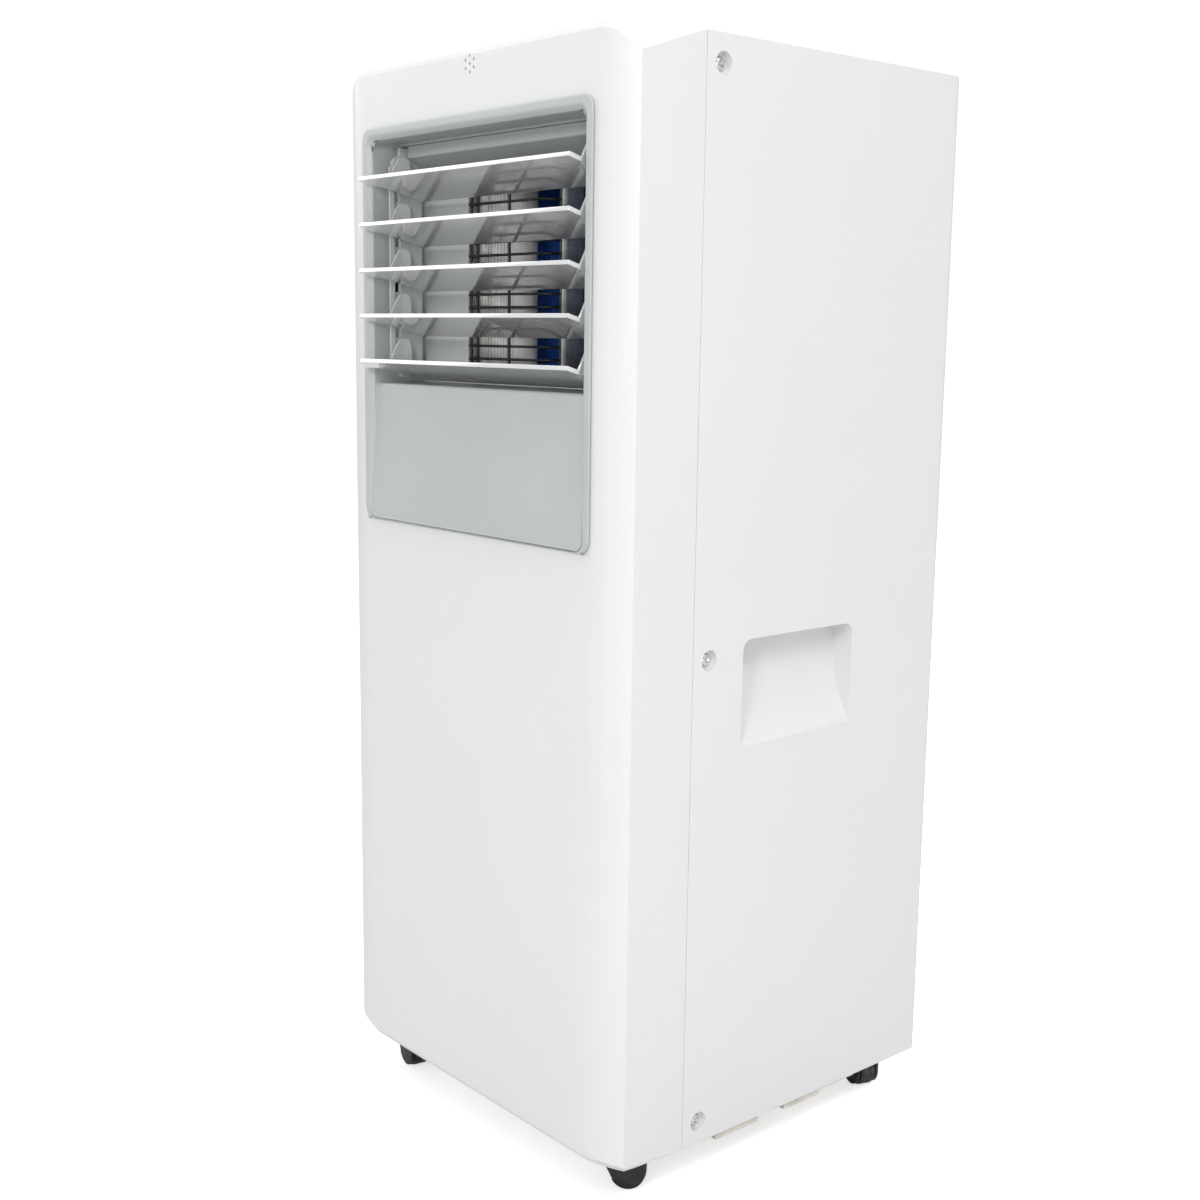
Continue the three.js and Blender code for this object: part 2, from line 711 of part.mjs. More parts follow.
addNode('louvre_bracket_left', louvreBracket(), 'linkGrey');
addNode('louvre_bracket_right', mirrorX(louvreBracket()), 'linkGrey');

// ---------------------------------------------------------------- finger guard

// The guard's path in plan: straight across the window, then bent back.
function guardPath() {
  const y = duct.back + 0.2;
  const x0 = windowBox.left + 1.2;
  const path = new THREE.CurvePath();
  const start = new THREE.Vector3(x0, y, 0);
  const turn = new THREE.Vector3(x0 + guard.straight, y, 0);
  path.add(new THREE.LineCurve3(start, turn));
  const end = new THREE.Vector3(turn.x + guard.bend, y + guard.bend, 0);
  path.add(new THREE.QuadraticBezierCurve3(turn, new THREE.Vector3(turn.x + guard.bend, y, 0), end));
  return path;
}

// A ribbon along the guard's path, pierced between its wires.
function fingerGuard() {
  const half = guard.wire / 2;
  const points = guardPath().getPoints(guard.bendSteps);
  const outer = points.map(({ x, y }, i) => {
    const before = points[Math.max(i - 1, 0)];
    const after = points[Math.min(i + 1, points.length - 1)];
    const length = Math.hypot(after.x - before.x, after.y - before.y);
    return [x, y, (half * (before.y - after.y)) / length, (half * (after.x - before.x)) / length];
  });
  const ribbon = outlineOf([
    ...outer.map(([x, y, nx, ny]) => [x - nx, y - ny]),
    ...outer.map(([x, y, nx, ny]) => [x + nx, y + ny]).reverse(),
  ]);
  const z0 = windowBox.bottom + 3;
  const rows = Math.floor((windowBox.top - 3 - z0) / guard.pitch);
  let sheet = slabZ(ribbon, z0 - half, z0 + rows * guard.pitch + half);
  const start = points[0];
  const end = points[points.length - 1];
  const columns = [start.x, ...guard.uprights.map((along) => start.x + along), end.x];
  for (let row = 0; row < rows; row += 1) {
    const z = z0 + row * guard.pitch + half;
    for (let i = 0; i + 1 < columns.length; i += 1) {
      const x1 = columns[i + 1] - half;
      const z1 = z + guard.pitch - guard.wire;
      sheet = sheet.subtract(box(columns[i] + half, x1, start.y - 2, end.y - half, z, z1));
    }
  }
  return sheet;
}

addNode('finger_guard', fingerGuard(), 'black');

// ---------------------------------------------------------------- cold-air blower and coil

function blowerWheel() {
  const r = wheel.radius;
  const h = wheelHeight;
  const drum = turned([
    [0, 0], [r, 0], [r, wheel.ring], [r - 1.2, wheel.ring], [r - 1.2, h - wheel.ring], [r, h - wheel.ring],
    [r, h], [wheel.shaft, h], [wheel.shaft, h + 8], [0, h + 8],
  ], 24).translate([wheelX, wheel.y, wheelBottom]);
  return drum.subtract(rod('z', wheel.shaft + wheel.shaftFit, wheelX, wheel.y, wheelBottom - 1, 20, 12));
}

function blowerFrame() {
  const z1 = wheelBottom + wheelHeight + 2;
  const right = windowBox.left + guard.straight + guard.bend + 3;
  const y0 = duct.back + guard.bend;
  const left = wheelX - wheel.radius - 6.5;
  let frame = box(left, right + 2, y0 - 6, coil.y - 6, z1, z1 + 3);
  frame = frame.add(box(right, right + 2, y0, y0 + 16, duct.ledge - 1, z1 + 1));
  frame = frame.add(box(left, left + 2.5, y0, coil.y - 6, duct.ledge - 1, z1 + 1));
  return frame.subtract(rod('z', wheel.shaft + wheel.shaftFit, wheelX, wheel.y, z1 - 1, 6, 16));
}

// A round motor standing on its end: can, neck and shaft.
function motorBody({ radius, height, neck }, shaft, reach) {
  return turned([
    [0, 0], [radius - 4, 0], [radius, 4], [radius, height - 4], [radius - 4, height], [neck, height],
    [neck, height + 2], [shaft, height + 2], [shaft, reach], [0, reach],
  ], 20);
}

function wheelMotor() {
  const reach = wheelBottom + wheel.shaftReach - deckZ + blowerMotor.below;
  return motorBody(blowerMotor, wheel.shaft, reach).translate([wheelX, wheel.y, deckZ - blowerMotor.below]);
}

function dripTray() {
  const z = deckZ;
  const half = halfWidth - wall - 2;
  const y0 = duct.back + 6;
  const y1 = coil.y + coil.depth + deck.behindCoil;
  let tray = box(-half, half, y0, y1, z, z + deck.thick);
  const hollow = box(-half + 3, half - 3, coil.y - 4 + 3, y1 - 3, z + deck.thick, z + 40);
  tray = tray.add(box(-half, half, coil.y - 4, y1, z + deck.thick - 0.5, z + deck.rim).subtract(hollow));
  return tray.subtract(rod('z', blowerMotor.bore, wheelX, wheel.y, z - 1, deck.thick + 2, 20));
}

const coilBottom = deckZ + deck.thick + gap;

function finCoil(width, depth, height, x, y, z, tubes) {
  const half = width / 2;
  const plate = 1.6;
  let block = box(x - half + plate, x + half - plate, y, y + depth, z + 1, z + height - 1);
  block = block.add(box(x - half, x - half + plate + 0.5, y - 1, y + depth + 1, z, z + height));
  block = block.add(box(x + half - plate - 0.5, x + half, y - 1, y + depth + 1, z, z + height));
  const bends = [];
  for (let i = 0; i < tubes; i += 1) {
    const bendZ = z + (height * (i + 0.5)) / tubes;
    const y0 = y + depth * 0.3 - 2.5;
    bends.push(box(x + half - 0.5, x + half + 5, y0, y + depth * 0.7 + 2.5, bendZ - 3, bendZ + 3));
  }
  return bends.reduce((sum, bend) => sum.add(bend), block);
}

addNode('blower_wheel', blowerWheel(), 'offWhite');
addNode('blower_frame', blowerFrame(), 'linkGrey');
addNode('blower_motor', wheelMotor(), 'zinc');
addNode('drip_tray', dripTray(), 'offWhite');
addNode('evaporator', finCoil(coil.width, coil.depth, coil.height, 0, coil.y, coilBottom, 6), 'blueFin');

// ---------------------------------------------------------------- warm-air side

function exhaustFan() {
  const bore = fan.shaft + fan.shaftFit;
  const hubTop = fan.depth * 0.6;
  const inside = fan.radius - fan.bladeDepth;
  const drum = turned([
    [bore, 0], [fan.radius, 0], [fan.radius, fan.depth], [inside, fan.depth],
    [inside, 3], [fan.hub, 3], [fan.hub, hubTop], [bore, hubTop], [bore, 0],
  ], 24);
  return drum.rotate([-90, 0, 0]).translate([0, fan.y, collarZ]);
}

function fanHousing() {
  const y0 = fan.y - 8;
  const y1 = back - wall - 12;
  const outer = fan.radius + 12;
  let shell = rod('y', outer, 0, y0, collarZ, y1 - y0, 28);
  shell = shell.subtract(rod('y', outer - 3, 0, y0 + 3, collarZ, y1 - y0, 28));
  return shell.subtract(rod('y', fanMotor.bore, 0, y0 - 1, collarZ, 6, 20));
}

function exhaustMotor() {
  const length = fanMotor.height + 2;
  const body = motorBody(fanMotor, fan.shaft, length + fanMotor.reach);
  return body.rotate([-90, 0, 0]).translate([0, fan.y - 8 - gap - length, collarZ]);
}

const compressorZ = bottom + basePan.floor + compressor.foot + 1;
const compressorTop = compressorZ + compressor.height + 6;
const accumulatorZ = bottom + basePan.floor + accumulator.lift;
const accumulatorTop = accumulatorZ + accumulator.height;

function compressorShell() {
  const r = compressor.radius;
  const h = compressor.height;
  const body = turned([
    [0, 0], [r * 0.6, 0], [r - 4, 10], [r, 20], [r, h - 36], [r - 4, h - 18], [r * 0.64, h - 4],
    [8, h], [8, h + 6], [0, h + 6],
  ], 20);
  return body.translate([compressor.x, compressor.y, compressorZ]);
}

function accumulatorShell() {
  const r = accumulator.radius;
  const h = accumulator.height;
  const body = turned([[0, 0], [r * 0.6, 3], [r, 12], [r, h - 12], [r * 0.6, h - 3], [0, h]], 14);
  return body.translate([accumulator.x, compressor.y, accumulatorZ]);
}

// From the top of the compressor to the top of the condenser's tubes.
function dischargeRoute() {
  const { x, y } = compressor;
  const end = bottom + condenser.z + condenser.height;
  const startZ = compressorTop + 3;
  const endY = condenser.y + 11;
  return [
    [x, y, startZ], [x, y, startZ + 25], [x + 16, y + 24, startZ + 36], [x + 50, y + 74, startZ + 26],
    [pipes.outletX, endY - 15, Math.max(startZ, end - 17)], [pipes.outletX, endY, end - 37],
  ];
}

// From the top of the accumulator up the left side to the deck under the evaporator.
function suctionRoute() {
  const { x } = accumulator;
  const { y } = compressor;
  const startZ = accumulatorTop + 2;
  return [
    [x, y, startZ], [x, y, startZ + 29], [x - 24, y + 26, startZ + 60], [x - 82, y + 58, startZ + 114],
    [pipes.inletX, pipes.inletY, deckZ - 60], [pipes.inletX, pipes.inletY, deckZ - 8],
  ];
}

function pipe(points, radius) {
  const stations = points.map(([x, y, z]) => new THREE.Vector3(x, y, z));
  const curve = new THREE.CatmullRomCurve3(stations, false, 'centripetal');
  const section = new THREE.Shape();
  section.absarc(0, 0, radius, 0, Math.PI * 2);
  return solid(new THREE.ExtrudeGeometry(section, { steps: 16, curveSegments: 4, extrudePath: curve }));
}

addNode('exhaust_fan_wheel', exhaustFan(), 'black');
addNode('exhaust_fan_housing', fanHousing(), 'offWhite');
addNode('exhaust_fan_motor', exhaustMotor(), 'zinc');
addNode('compressor', compressorShell(), 'darkSteel');
addNode('accumulator', accumulatorShell(), 'darkSteel');
addNode('discharge_pipe', pipe(dischargeRoute(), pipes.discharge), 'copper');
addNode('suction_pipe', pipe(suctionRoute(), pipes.suction), 'copper');
addNode('condenser', finCoil(condenser.width, condenser.depth, condenser.height, 0, condenser.y,
  bottom + condenser.z, 5), 'blueFin');
addNode('capacitor_box', box(
  capacitor.x, capacitor.x + capacitor.width, capacitor.y, capacitor.y + capacitor.depth,
  bottom + capacitor.lift, bottom + capacitor.lift + capacitor.height,
), 'zinc');

// ---------------------------------------------------------------- base pan

const casterSpots = Object.keys(casterTurn).map((name) => ({
  name,
  x: (name.endsWith('right') ? 1 : -1) * (halfWidth - caster.inset),
  y: name.startsWith('front') ? front + caster.insetY : back - caster.insetY,
  turn: casterTurn[name],
}));

function baseOutline(inset) {
  const x = halfWidth - wall - gap - inset;
  const y0 = front + wall + cabinet.edge + 1 + inset;
  const y1 = back - wall - gap - inset;
  const cornerX = x - cabinet.cornerFlatBottom;
  const rear = cabinet.backRadius;
  return outlineOf([
    [-cornerX, y0], [cornerX, y0], [x - 4, y0 + cabinet.cornerDepth], [x, y0 + cabinet.cornerDepth + 6],
    [x, y1 - rear], [x - rear, y1], [rear - x, y1], [-x, y1 - rear],
    [-x, y0 + cabinet.cornerDepth + 6], [4 - x, y0 + cabinet.cornerDepth],
  ]);
}

function baseTray() {
  const z0 = bottom + basePan.lift;
  let tray = slabZ(baseOutline(0), z0, z0 + basePan.height);
  tray = tray.subtract(slabZ(baseOutline(basePan.floor), z0 + basePan.floor, z0 + basePan.height + 1));
  const padX = halfWidth - basePan.padInset;
  for (const [y0, y1, share] of basePan.pads) {
    const pad = box(padX - basePan.padWidth, padX, y0, y1, bottom - basePan.padDrop * share, z0 + 1);
    tray = tray.add(pad).add(mirrorX(pad));
  }
  for (const { x, y } of casterSpots) {
    tray = tray.add(rod('z', basePan.socket, x, y, bottom, 16, 12));
  }
  for (const { x, y } of casterSpots) {
    tray = tray.subtract(rod('z', caster.stem + caster.fit, x, y, bottom - 1, 14, 10));
  }
  const notch = screw.recess + 4;
  const notchY = seam + screw.setBack;
  const notchZ = screwHeights[0] - notch;
  for (const side of [-1, 1]) {
    const x0 = Math.min(side * halfWidth, side * (halfWidth - screw.length - 4));
    const x1 = x0 + screw.length + 4;
    const notchTop = z0 + basePan.height + 1;
    tray = tray.subtract(box(x0, x1, notchY - notch, notchY + notch, notchZ, notchTop));
  }
  const footRadius = compressor.radius - 3;
  const footHeight = compressorZ - gap - z0 - 1;
  tray = tray.add(rod('z', footRadius, compressor.x, compressor.y, z0 + 1, footHeight, 20));
  return tray.subtract(rod('y', plug.radius + gap, plug.x, back - 24, bottom + plug.z, 40, 20));
}

addNode('base_pan', baseTray(), 'beige');

// ---------------------------------------------------------------- rear pieces

function intakeGrille([low, high]) {
  const half = rearGrille.width / 2;
  const y1 = back + 0.6;
  const y0 = y1 - rearGrille.thick;
  let face = slabY(roundedOutline(-half, half, low, high, 4), y0, y1);
  const rows = Math.floor((high - low - 20) / slat.pitch);
  const start = (low + high) / 2 - (rows * slat.pitch) / 2;
  for (let i = 0; i < rows; i += 1) {
    const z = start + i * slat.pitch + (slat.pitch - slat.width) / 2;
    for (const [x0, x1] of [[-half + 10, -3], [3, half - 10]]) {
      face = face.subtract(box(x0, x1, y0 - 1, y1 + 1, z, z + slat.width));
    }
  }
  return face;
}

function filterMesh([z0, z1]) {
  const half = rearGrille.width / 2 - 4;
  const y1 = back + 0.6 - rearGrille.thick - gap;
  return slabY(roundedOutline(-half, half, z0 + 4, z1 - 4, 4), y1 - 1.6, y1);
}

addNode('upper_intake_grille', intakeGrille(upperGrille), 'shell');
addNode('lower_intake_grille', intakeGrille(lowerGrille), 'shell');
addNode('upper_filter', filterMesh(upperGrille), 'mesh');
addNode('lower_filter', filterMesh(lowerGrille), 'mesh');

// A flanged tube with level bars and one upright bar across its bore.
function exhaustCollar() {
  const y0 = back - collar.inside;
  const y1 = back + collar.proud;
  const ring = rod('y', collar.outer, 0, y0, collarZ, y1 - y0, 32);
  const flange = rod('y', collarFlange, 0, back + gap, collarZ, collar.flangeThick, 32);
  const body = ring.add(flange).subtract(rod('y', collarBore, 0, y0 - 1, collarZ, y1 - y0 + 2, 32));
  const half = collar.barWidth / 2;
  const reach = collarBore + 1;
  const barBack = y0 + 1;
  const barFront = barBack + collar.barDepth;
  const bars = collar.bars.map((offset) => {
    const z = collarZ + offset;
    return box(-reach, reach, barBack, barFront, z - half, z + half);
  });
  bars.push(box(-half, half, barBack, barFront, collarZ - reach, collarZ + reach));
  return body.add(union(bars).intersect(rod('y', reach, 0, y0, collarZ, collar.inside, 32)));
}

function drainPlug(x, z) {
  const shank = plug.radius - 2;
  const end = plug.shank + plug.headThick;
  const body = turned([
    [0, 0], [shank, 0], [shank, plug.shank], [plug.head, plug.shank], [plug.head, end - 1],
    [plug.head - 1, end], [0, end],
  ], 14);
  return body.rotate([-90, 0, 0]).translate([x, back + gap - plug.shank, z]);
}

function cordGland() {
  const shank = gland.radius - 0.4;
  const flange = gland.radius + gland.flange;
  const face = gland.shank + gland.flangeThick;
  const end = face + gland.nose;
  const body = turned([
    [0, 0], [shank, 0], [shank, gland.shank], [flange, gland.shank], [flange, face],
    [gland.radius - 1, face], [gland.radius - 2.5, end], [0, end],
  ], 14);
  const bore = rod('z', gland.bore, 0, 0, -1, end * 2, 10);
  const place = [gland.x, back + gap - gland.shank, bottom + gland.z];
  return body.subtract(bore).rotate([-90, 0, 0]).translate(place);
}

addNode('exhaust_collar', exhaustCollar(), 'shell');
addNode('lower_drain_plug', drainPlug(plug.x, bottom + plug.z), 'black');
addNode('upper_drain_plug', drainPlug(plug.upperX, bottom + plug.upperZ), 'black');
addNode('cord_gland', cordGland(), 'black');

// ---------------------------------------------------------------- casters

// A caster is drawn with its stem on the Z axis and its wheel trailing along +X.
function casterHousing() {
  const half = caster.width / 2 + caster.fit + caster.cheek;
  const crown = bottom - gap;
  const axleZ = caster.wheel;
  const outline = new THREE.Shape();
  const rear = caster.trail + caster.wheel + caster.hood;
  outline.moveTo(-caster.fork, crown);
  outline.lineTo(caster.trail + 2, crown);
  outline.quadraticCurveTo(rear - 1, crown - 1, rear, axleZ);
  outline.lineTo(rear - 5, axleZ - 4.5);
  outline.lineTo(caster.trail - 4, axleZ - 5);
  outline.lineTo(-caster.fork, crown - 5);
  const cheeks = slabY(outline, -half, half, 5);
  const room = caster.wheel + caster.fit;
  const inner = caster.width / 2 + caster.fit;
  const axleHole = rod('y', caster.axle + caster.fit, caster.trail, -half - 1, axleZ, half * 2 + 2, 12);
  return cheeks
    .subtract(rod('y', room, caster.trail, -inner, axleZ, inner * 2, 16))
    .subtract(axleHole)
    .add(rod('z', caster.stem, 0, 0, crown - 3, 14, 16));
}

function casterWheel() {
  const w = caster.width / 2;
  const r = caster.wheel;
  const half = w + caster.fit + caster.cheek;
  const a = caster.axle;
  const profile = [[0, -half], [a, -half], [a, -w], [r, -w], [r, w], [a, w], [a, half], [0, half]];
  const geometry = new THREE.LatheGeometry(profile.map(([a, b]) => new THREE.Vector2(a, b)), caster.sides);
  geometry.rotateY(Math.PI / caster.sides);
  return solid(geometry).translate([caster.trail, 0, r * Math.cos(Math.PI / caster.sides)]);
}

function casterPlaced(piece, { x, y, turn }) {
  return piece.rotate([0, 0, turn]).translate([x, y, 0]);
}

for (const spot of casterSpots) {
  addNode(`caster_housing_${spot.name}`, casterPlaced(casterHousing(), spot), 'casterBlack');
  addNode(`caster_wheel_${spot.name}`, casterPlaced(casterWheel(), spot), 'wheelRubber');
}

export default group;
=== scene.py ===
import json
import math
import random

import bmesh
import bpy
from mathutils import Matrix, Vector


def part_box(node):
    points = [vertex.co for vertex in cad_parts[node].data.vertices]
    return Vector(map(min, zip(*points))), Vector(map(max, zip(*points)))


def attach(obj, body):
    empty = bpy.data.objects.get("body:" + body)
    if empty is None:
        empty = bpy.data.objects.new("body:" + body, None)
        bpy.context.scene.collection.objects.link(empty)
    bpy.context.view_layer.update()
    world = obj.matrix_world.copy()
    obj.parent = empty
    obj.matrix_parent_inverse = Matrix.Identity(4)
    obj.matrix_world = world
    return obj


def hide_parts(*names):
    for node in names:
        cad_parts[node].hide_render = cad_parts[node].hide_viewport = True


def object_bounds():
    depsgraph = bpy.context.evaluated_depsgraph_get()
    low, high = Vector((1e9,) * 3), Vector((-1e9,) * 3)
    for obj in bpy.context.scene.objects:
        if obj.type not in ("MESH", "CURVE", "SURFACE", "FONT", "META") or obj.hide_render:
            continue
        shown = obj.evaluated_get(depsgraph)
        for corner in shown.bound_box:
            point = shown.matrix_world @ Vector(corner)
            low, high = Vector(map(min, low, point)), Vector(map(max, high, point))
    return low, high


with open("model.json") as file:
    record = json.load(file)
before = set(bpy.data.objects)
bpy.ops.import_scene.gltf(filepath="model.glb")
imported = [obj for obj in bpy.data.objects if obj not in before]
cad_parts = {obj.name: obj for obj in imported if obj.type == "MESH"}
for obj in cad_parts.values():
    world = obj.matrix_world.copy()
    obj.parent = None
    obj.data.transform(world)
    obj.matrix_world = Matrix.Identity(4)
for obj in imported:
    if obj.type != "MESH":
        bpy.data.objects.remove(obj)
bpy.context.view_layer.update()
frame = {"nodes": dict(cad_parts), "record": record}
random.seed(11)
mm = 0.001
record = frame["record"]


# A shader value that can be used in sums, so that a material reads as plain arithmetic.
class Signal:
    def __init__(self, tree, socket):
        self.tree = tree
        self.socket = socket

    def maths(self, operation, *values):
        return self.tree.add("ShaderNodeMath", {"operation": operation}, dict(enumerate(values)))

    def __add__(self, other):
        return self.maths("ADD", self, other)

    def __sub__(self, other):
        return self.maths("SUBTRACT", self, other)

    def __mul__(self, other):
        return self.maths("MULTIPLY", self, other)

    def __truediv__(self, other):
        return self.maths("DIVIDE", self, other)

    def __radd__(self, other):
        return self.maths("ADD", other, self)

    def __rsub__(self, other):
        return self.maths("SUBTRACT", other, self)

    def __rmul__(self, other):
        return self.maths("MULTIPLY", other, self)

    def __rtruediv__(self, other):
        return self.maths("DIVIDE", other, self)

    def wave(self):
        return self.maths("SINE", self)

    def size(self):
        return self.maths("ABSOLUTE", self)

    def under(self, other):
        return self.maths("LESS_THAN", self, other)

    def greatest(self, other):
        return self.maths("MAXIMUM", self, other)

    # 0 below low, 1 above high, smooth between.
    def ramp(self, low, high):
        settings = {"interpolation_type": "SMOOTHSTEP", "clamp": True}
        sockets = {"Value": self, "From Min": low, "From Max": high}
        return self.tree.add("ShaderNodeMapRange", settings, sockets)


# The nodes of one material or of the world.
class Tree:
    def __init__(self, owner):
        owner.use_nodes = True
        self.owner = owner
        self.nodes = owner.node_tree.nodes
        self.links = owner.node_tree.links

    def put(self, value, socket):
        if isinstance(value, Signal):
            self.links.new(value.socket, socket)
        else:
            socket.default_value = value

    # Any node: its type, its settings, what goes into its sockets and which socket comes out.
    def add(self, kind, settings, sockets, output=0):
        node = self.nodes.new(kind)
        for key, value in settings.items():
            setattr(node, key, value)
        for key, value in sockets.items():
            self.put(value, node.inputs[key])
        return Signal(self, node.outputs[output])


# The nodes of a material, all on Object coordinates.
class Finish(Tree):
    def __init__(self, name):
        super().__init__(bpy.data.materials.new(name))
        self.shader = self.nodes["Principled BSDF"]
        self.place = self.add("ShaderNodeTexCoord", {}, {}, "Object")

    def axis(self, letter):
        return self.add("ShaderNodeSeparateXYZ", {}, {0: self.place}, letter)

    # The place stretched by a factor along each axis.
    def stretched(self, x, y, z):
        return self.add("ShaderNodeVectorMath", {"operation": "MULTIPLY"}, {0: self.place, 1: (x, y, z)})

    def noise(self, scale, detail=3.0, place=None):
        sockets = {"Vector": place or self.place, "Scale": scale, "Detail": detail}
        return self.add("ShaderNodeTexNoise", {}, sockets)

    def cells(self, scale):
        return self.add("ShaderNodeTexVoronoi", {}, {"Vector": self.place, "Scale": scale}, "Distance")

    def blend(self, factor, first, second):
        return self.add("ShaderNodeMix", {"data_type": "RGBA"}, {0: factor, 6: first, 7: second}, 2)

    def bump(self, height, strength, distance, under=None):
        sockets = {"Height": height, "Strength": strength, "Distance": distance}
        if under is not None:
            sockets["Normal"] = under
        return self.add("ShaderNodeBump", {}, sockets)

    def softEdges(self, radius):
        return self.add("ShaderNodeBevel", {"samples": 4}, {"Radius": radius})

    # The shader's inputs. What plain holds is the same all over the surface.
    def done(self, colour, roughness, normal=None, metallic=0.0, **plain):
        self.put(colour, self.shader.inputs["Base Color"])
        self.put(roughness, self.shader.inputs["Roughness"])
        self.put(metallic, self.shader.inputs["Metallic"])
        if normal is not None:
            self.put(normal, self.shader.inputs["Normal"])
        for name, value in plain.items():
            self.shader.inputs[name.replace("_", " ")].default_value = value
        return self.owner


def rgb(red, green, blue):
    return (red, green, blue, 1.0)


print("materials")

# Scales of the patterns in plastic, and the dust that fades out between two heights.
plastic = {
    "mottle": 9.0, "cloud": 55.0, "streak": 260.0, "lean": (1.0, 1.0, 0.06), "cloudRough": 0.08,
    "dustColour": rgb(0.42, 0.38, 0.32), "dustRough": 0.2, "dustFull": 20 * mm, "dustGone": 160 * mm,
    "grainStrength": 0.35, "coatIndex": 1.6,
}


# Moulded plastic: fine grain, slow mottling, faint rubs and settled dust.
def moulded(name, colour, roughness, grain=3200.0, grainDepth=0.02 * mm, mottle=0.015, rub=0.05,
            dust=0.0, edge=0.4 * mm, coat=0.0, coatRough=0.12, shine=0.5):
    tree = Finish(name)
    fine = tree.noise(grain, 2.0)
    slow = tree.noise(plastic["mottle"], 4.0)
    cloud = tree.noise(plastic["cloud"], 5.0)
    streak = tree.noise(plastic["streak"], 3.0, tree.stretched(*plastic["lean"]))
    low = 1.0 - tree.axis("Z").ramp(plastic["dustFull"], plastic["dustGone"])
    dirt = low * dust * cloud.ramp(0.42, 0.72)
    darker = rgb(*[part * (1.0 - mottle * 2.0) for part in colour])
    base = tree.blend(slow.ramp(0.35, 0.65), rgb(*colour), darker)
    base = tree.blend(dirt, base, plastic["dustColour"])
    rough = roughness + (cloud - 0.5) * plastic["cloudRough"] + (streak - 0.5) * rub
    rough = rough + dirt * plastic["dustRough"]
    normal = tree.bump(fine, plastic["grainStrength"], grainDepth, tree.softEdges(edge))
    return tree.done(base, rough, normal, Coat_Weight=coat, Coat_Roughness=coatRough,
                     Coat_IOR=plastic["coatIndex"], Specular_IOR_Level=shine)


plate = {"drawn": 1800.0, "patch": 38.0, "pits": 900.0, "depth": 0.02 * mm, "edge": 0.3 * mm}


# Bare or plated metal with a drawn direction, small scratches and dulled patches.
def metal(name, colour, roughness, stretch=(1.0, 1.0, 0.02), tarnish=(0.3, 0.25, 0.2), amount=0.25):
    tree = Finish(name)
    drawn = tree.noise(plate["drawn"], 2.0, tree.stretched(*stretch))
    patch = tree.noise(plate["patch"], 5.0)
    pits = tree.noise(plate["pits"], 3.0)
    dull = patch.ramp(0.48, 0.75) * amount
    base = tree.blend(dull, rgb(*colour), rgb(*tarnish))
    rough = roughness + drawn * 0.16 + dull * 0.5
    normal = tree.bump(drawn + pits * 0.5, 0.3, plate["depth"], tree.softEdges(plate["edge"]))
    return tree.done(base, rough, normal, 1.0)


paint = {"peel": 420.0, "patch": 60.0, "chips": 240.0, "bare": rgb(0.32, 0.31, 0.3), "depth": 0.06 * mm,
         "edge": 0.3 * mm}


# Enamel on steel: slight orange peel and thin chips.
def enamel(name, colour, roughness):
    tree = Finish(name)
    skin = tree.noise(paint["peel"], 2.0)
    patch = tree.noise(paint["patch"], 5.0)
    chip = tree.cells(paint["chips"])
    worn = patch.ramp(0.66, 0.72) * (1.0 - chip.ramp(0.1, 0.32))
    base = tree.blend(worn * 0.7, rgb(*colour), paint["bare"])
    rough = roughness + (patch - 0.5) * 0.16 + worn * 0.2
    normal = tree.bump(skin - worn, 0.4, paint["depth"], tree.softEdges(paint["edge"]))
    return tree.done(base, rough, normal, worn * 0.6)


weave = {"pitch": 1.6 * mm, "lint": rgb(0.55, 0.53, 0.5), "depth": 0.3 * mm}


# Woven nylon: square threads with open holes between.
def woven(name, colour):
    tree = Finish(name)
    across = (tree.axis("X") / weave["pitch"] * math.tau).wave()
    upright = (tree.axis("Z") / weave["pitch"] * math.tau).wave()
    threads = across.greatest(upright)
    lint = tree.noise(120.0, 5.0)
    base = tree.blend(lint.ramp(0.5, 0.75) * 0.5, rgb(*colour), weave["lint"])
    tree.put(threads.ramp(-0.25, 0.05), tree.shader.inputs["Alpha"])
    return tree.done(base, 0.6 + lint * 0.25, tree.bump(threads, 0.6, weave["depth"]))


rubber = {"grain": 2600.0, "cloud": 130.0, "dustColour": rgb(0.3, 0.28, 0.25), "depth": 0.05 * mm,
          "edge": 0.3 * mm}


# Rubber and nylon near the floor: dust in the grain, polished where it rubs.
def rubbery(name, colour, roughness, dust):
    tree = Finish(name)
    fine = tree.noise(rubber["grain"], 3.0)
    cloud = tree.noise(rubber["cloud"], 5.0)
    settled = cloud.ramp(0.5, 0.72) * dust
    base = tree.blend(settled, rgb(*colour), rubber["dustColour"])
    rough = roughness + (cloud - 0.5) * 0.22 + settled * 0.2
    normal = tree.bump(fine + cloud * 0.4, 0.4, rubber["depth"], tree.softEdges(rubber["edge"]))
    return tree.done(base, rough, normal)


mask = {"field": rgb(0.015, 0.12, 0.05), "track": rgb(0.05, 0.27, 0.12), "pad": rgb(0.72, 0.7, 0.66),
        "depth": 0.06 * mm}


# Solder mask over copper tracks.
def board(name):
    tree = Finish(name)
    grain = tree.noise(2200.0, 2.0)
    bend = tree.noise(70.0, 1.0) * 2.4
    along = (tree.axis("X") * 2400.0 + bend * 3.0).wave()
    across = (tree.axis("Y") * 1500.0 + bend * 4.0).wave()
    tracks = (along * across).ramp(0.1, 0.35)
    pads = 1.0 - tree.cells(160.0).ramp(0.12, 0.18)
    base = tree.blend(tracks * 0.6, mask["field"], mask["track"])
    base = tree.blend(pads, base, mask["pad"])
    normal = tree.bump(tracks + pads + grain * 0.2, 0.4, mask["depth"])
    return tree.done(base, 0.34 + grain * 0.12 - pads * 0.1, normal, pads)


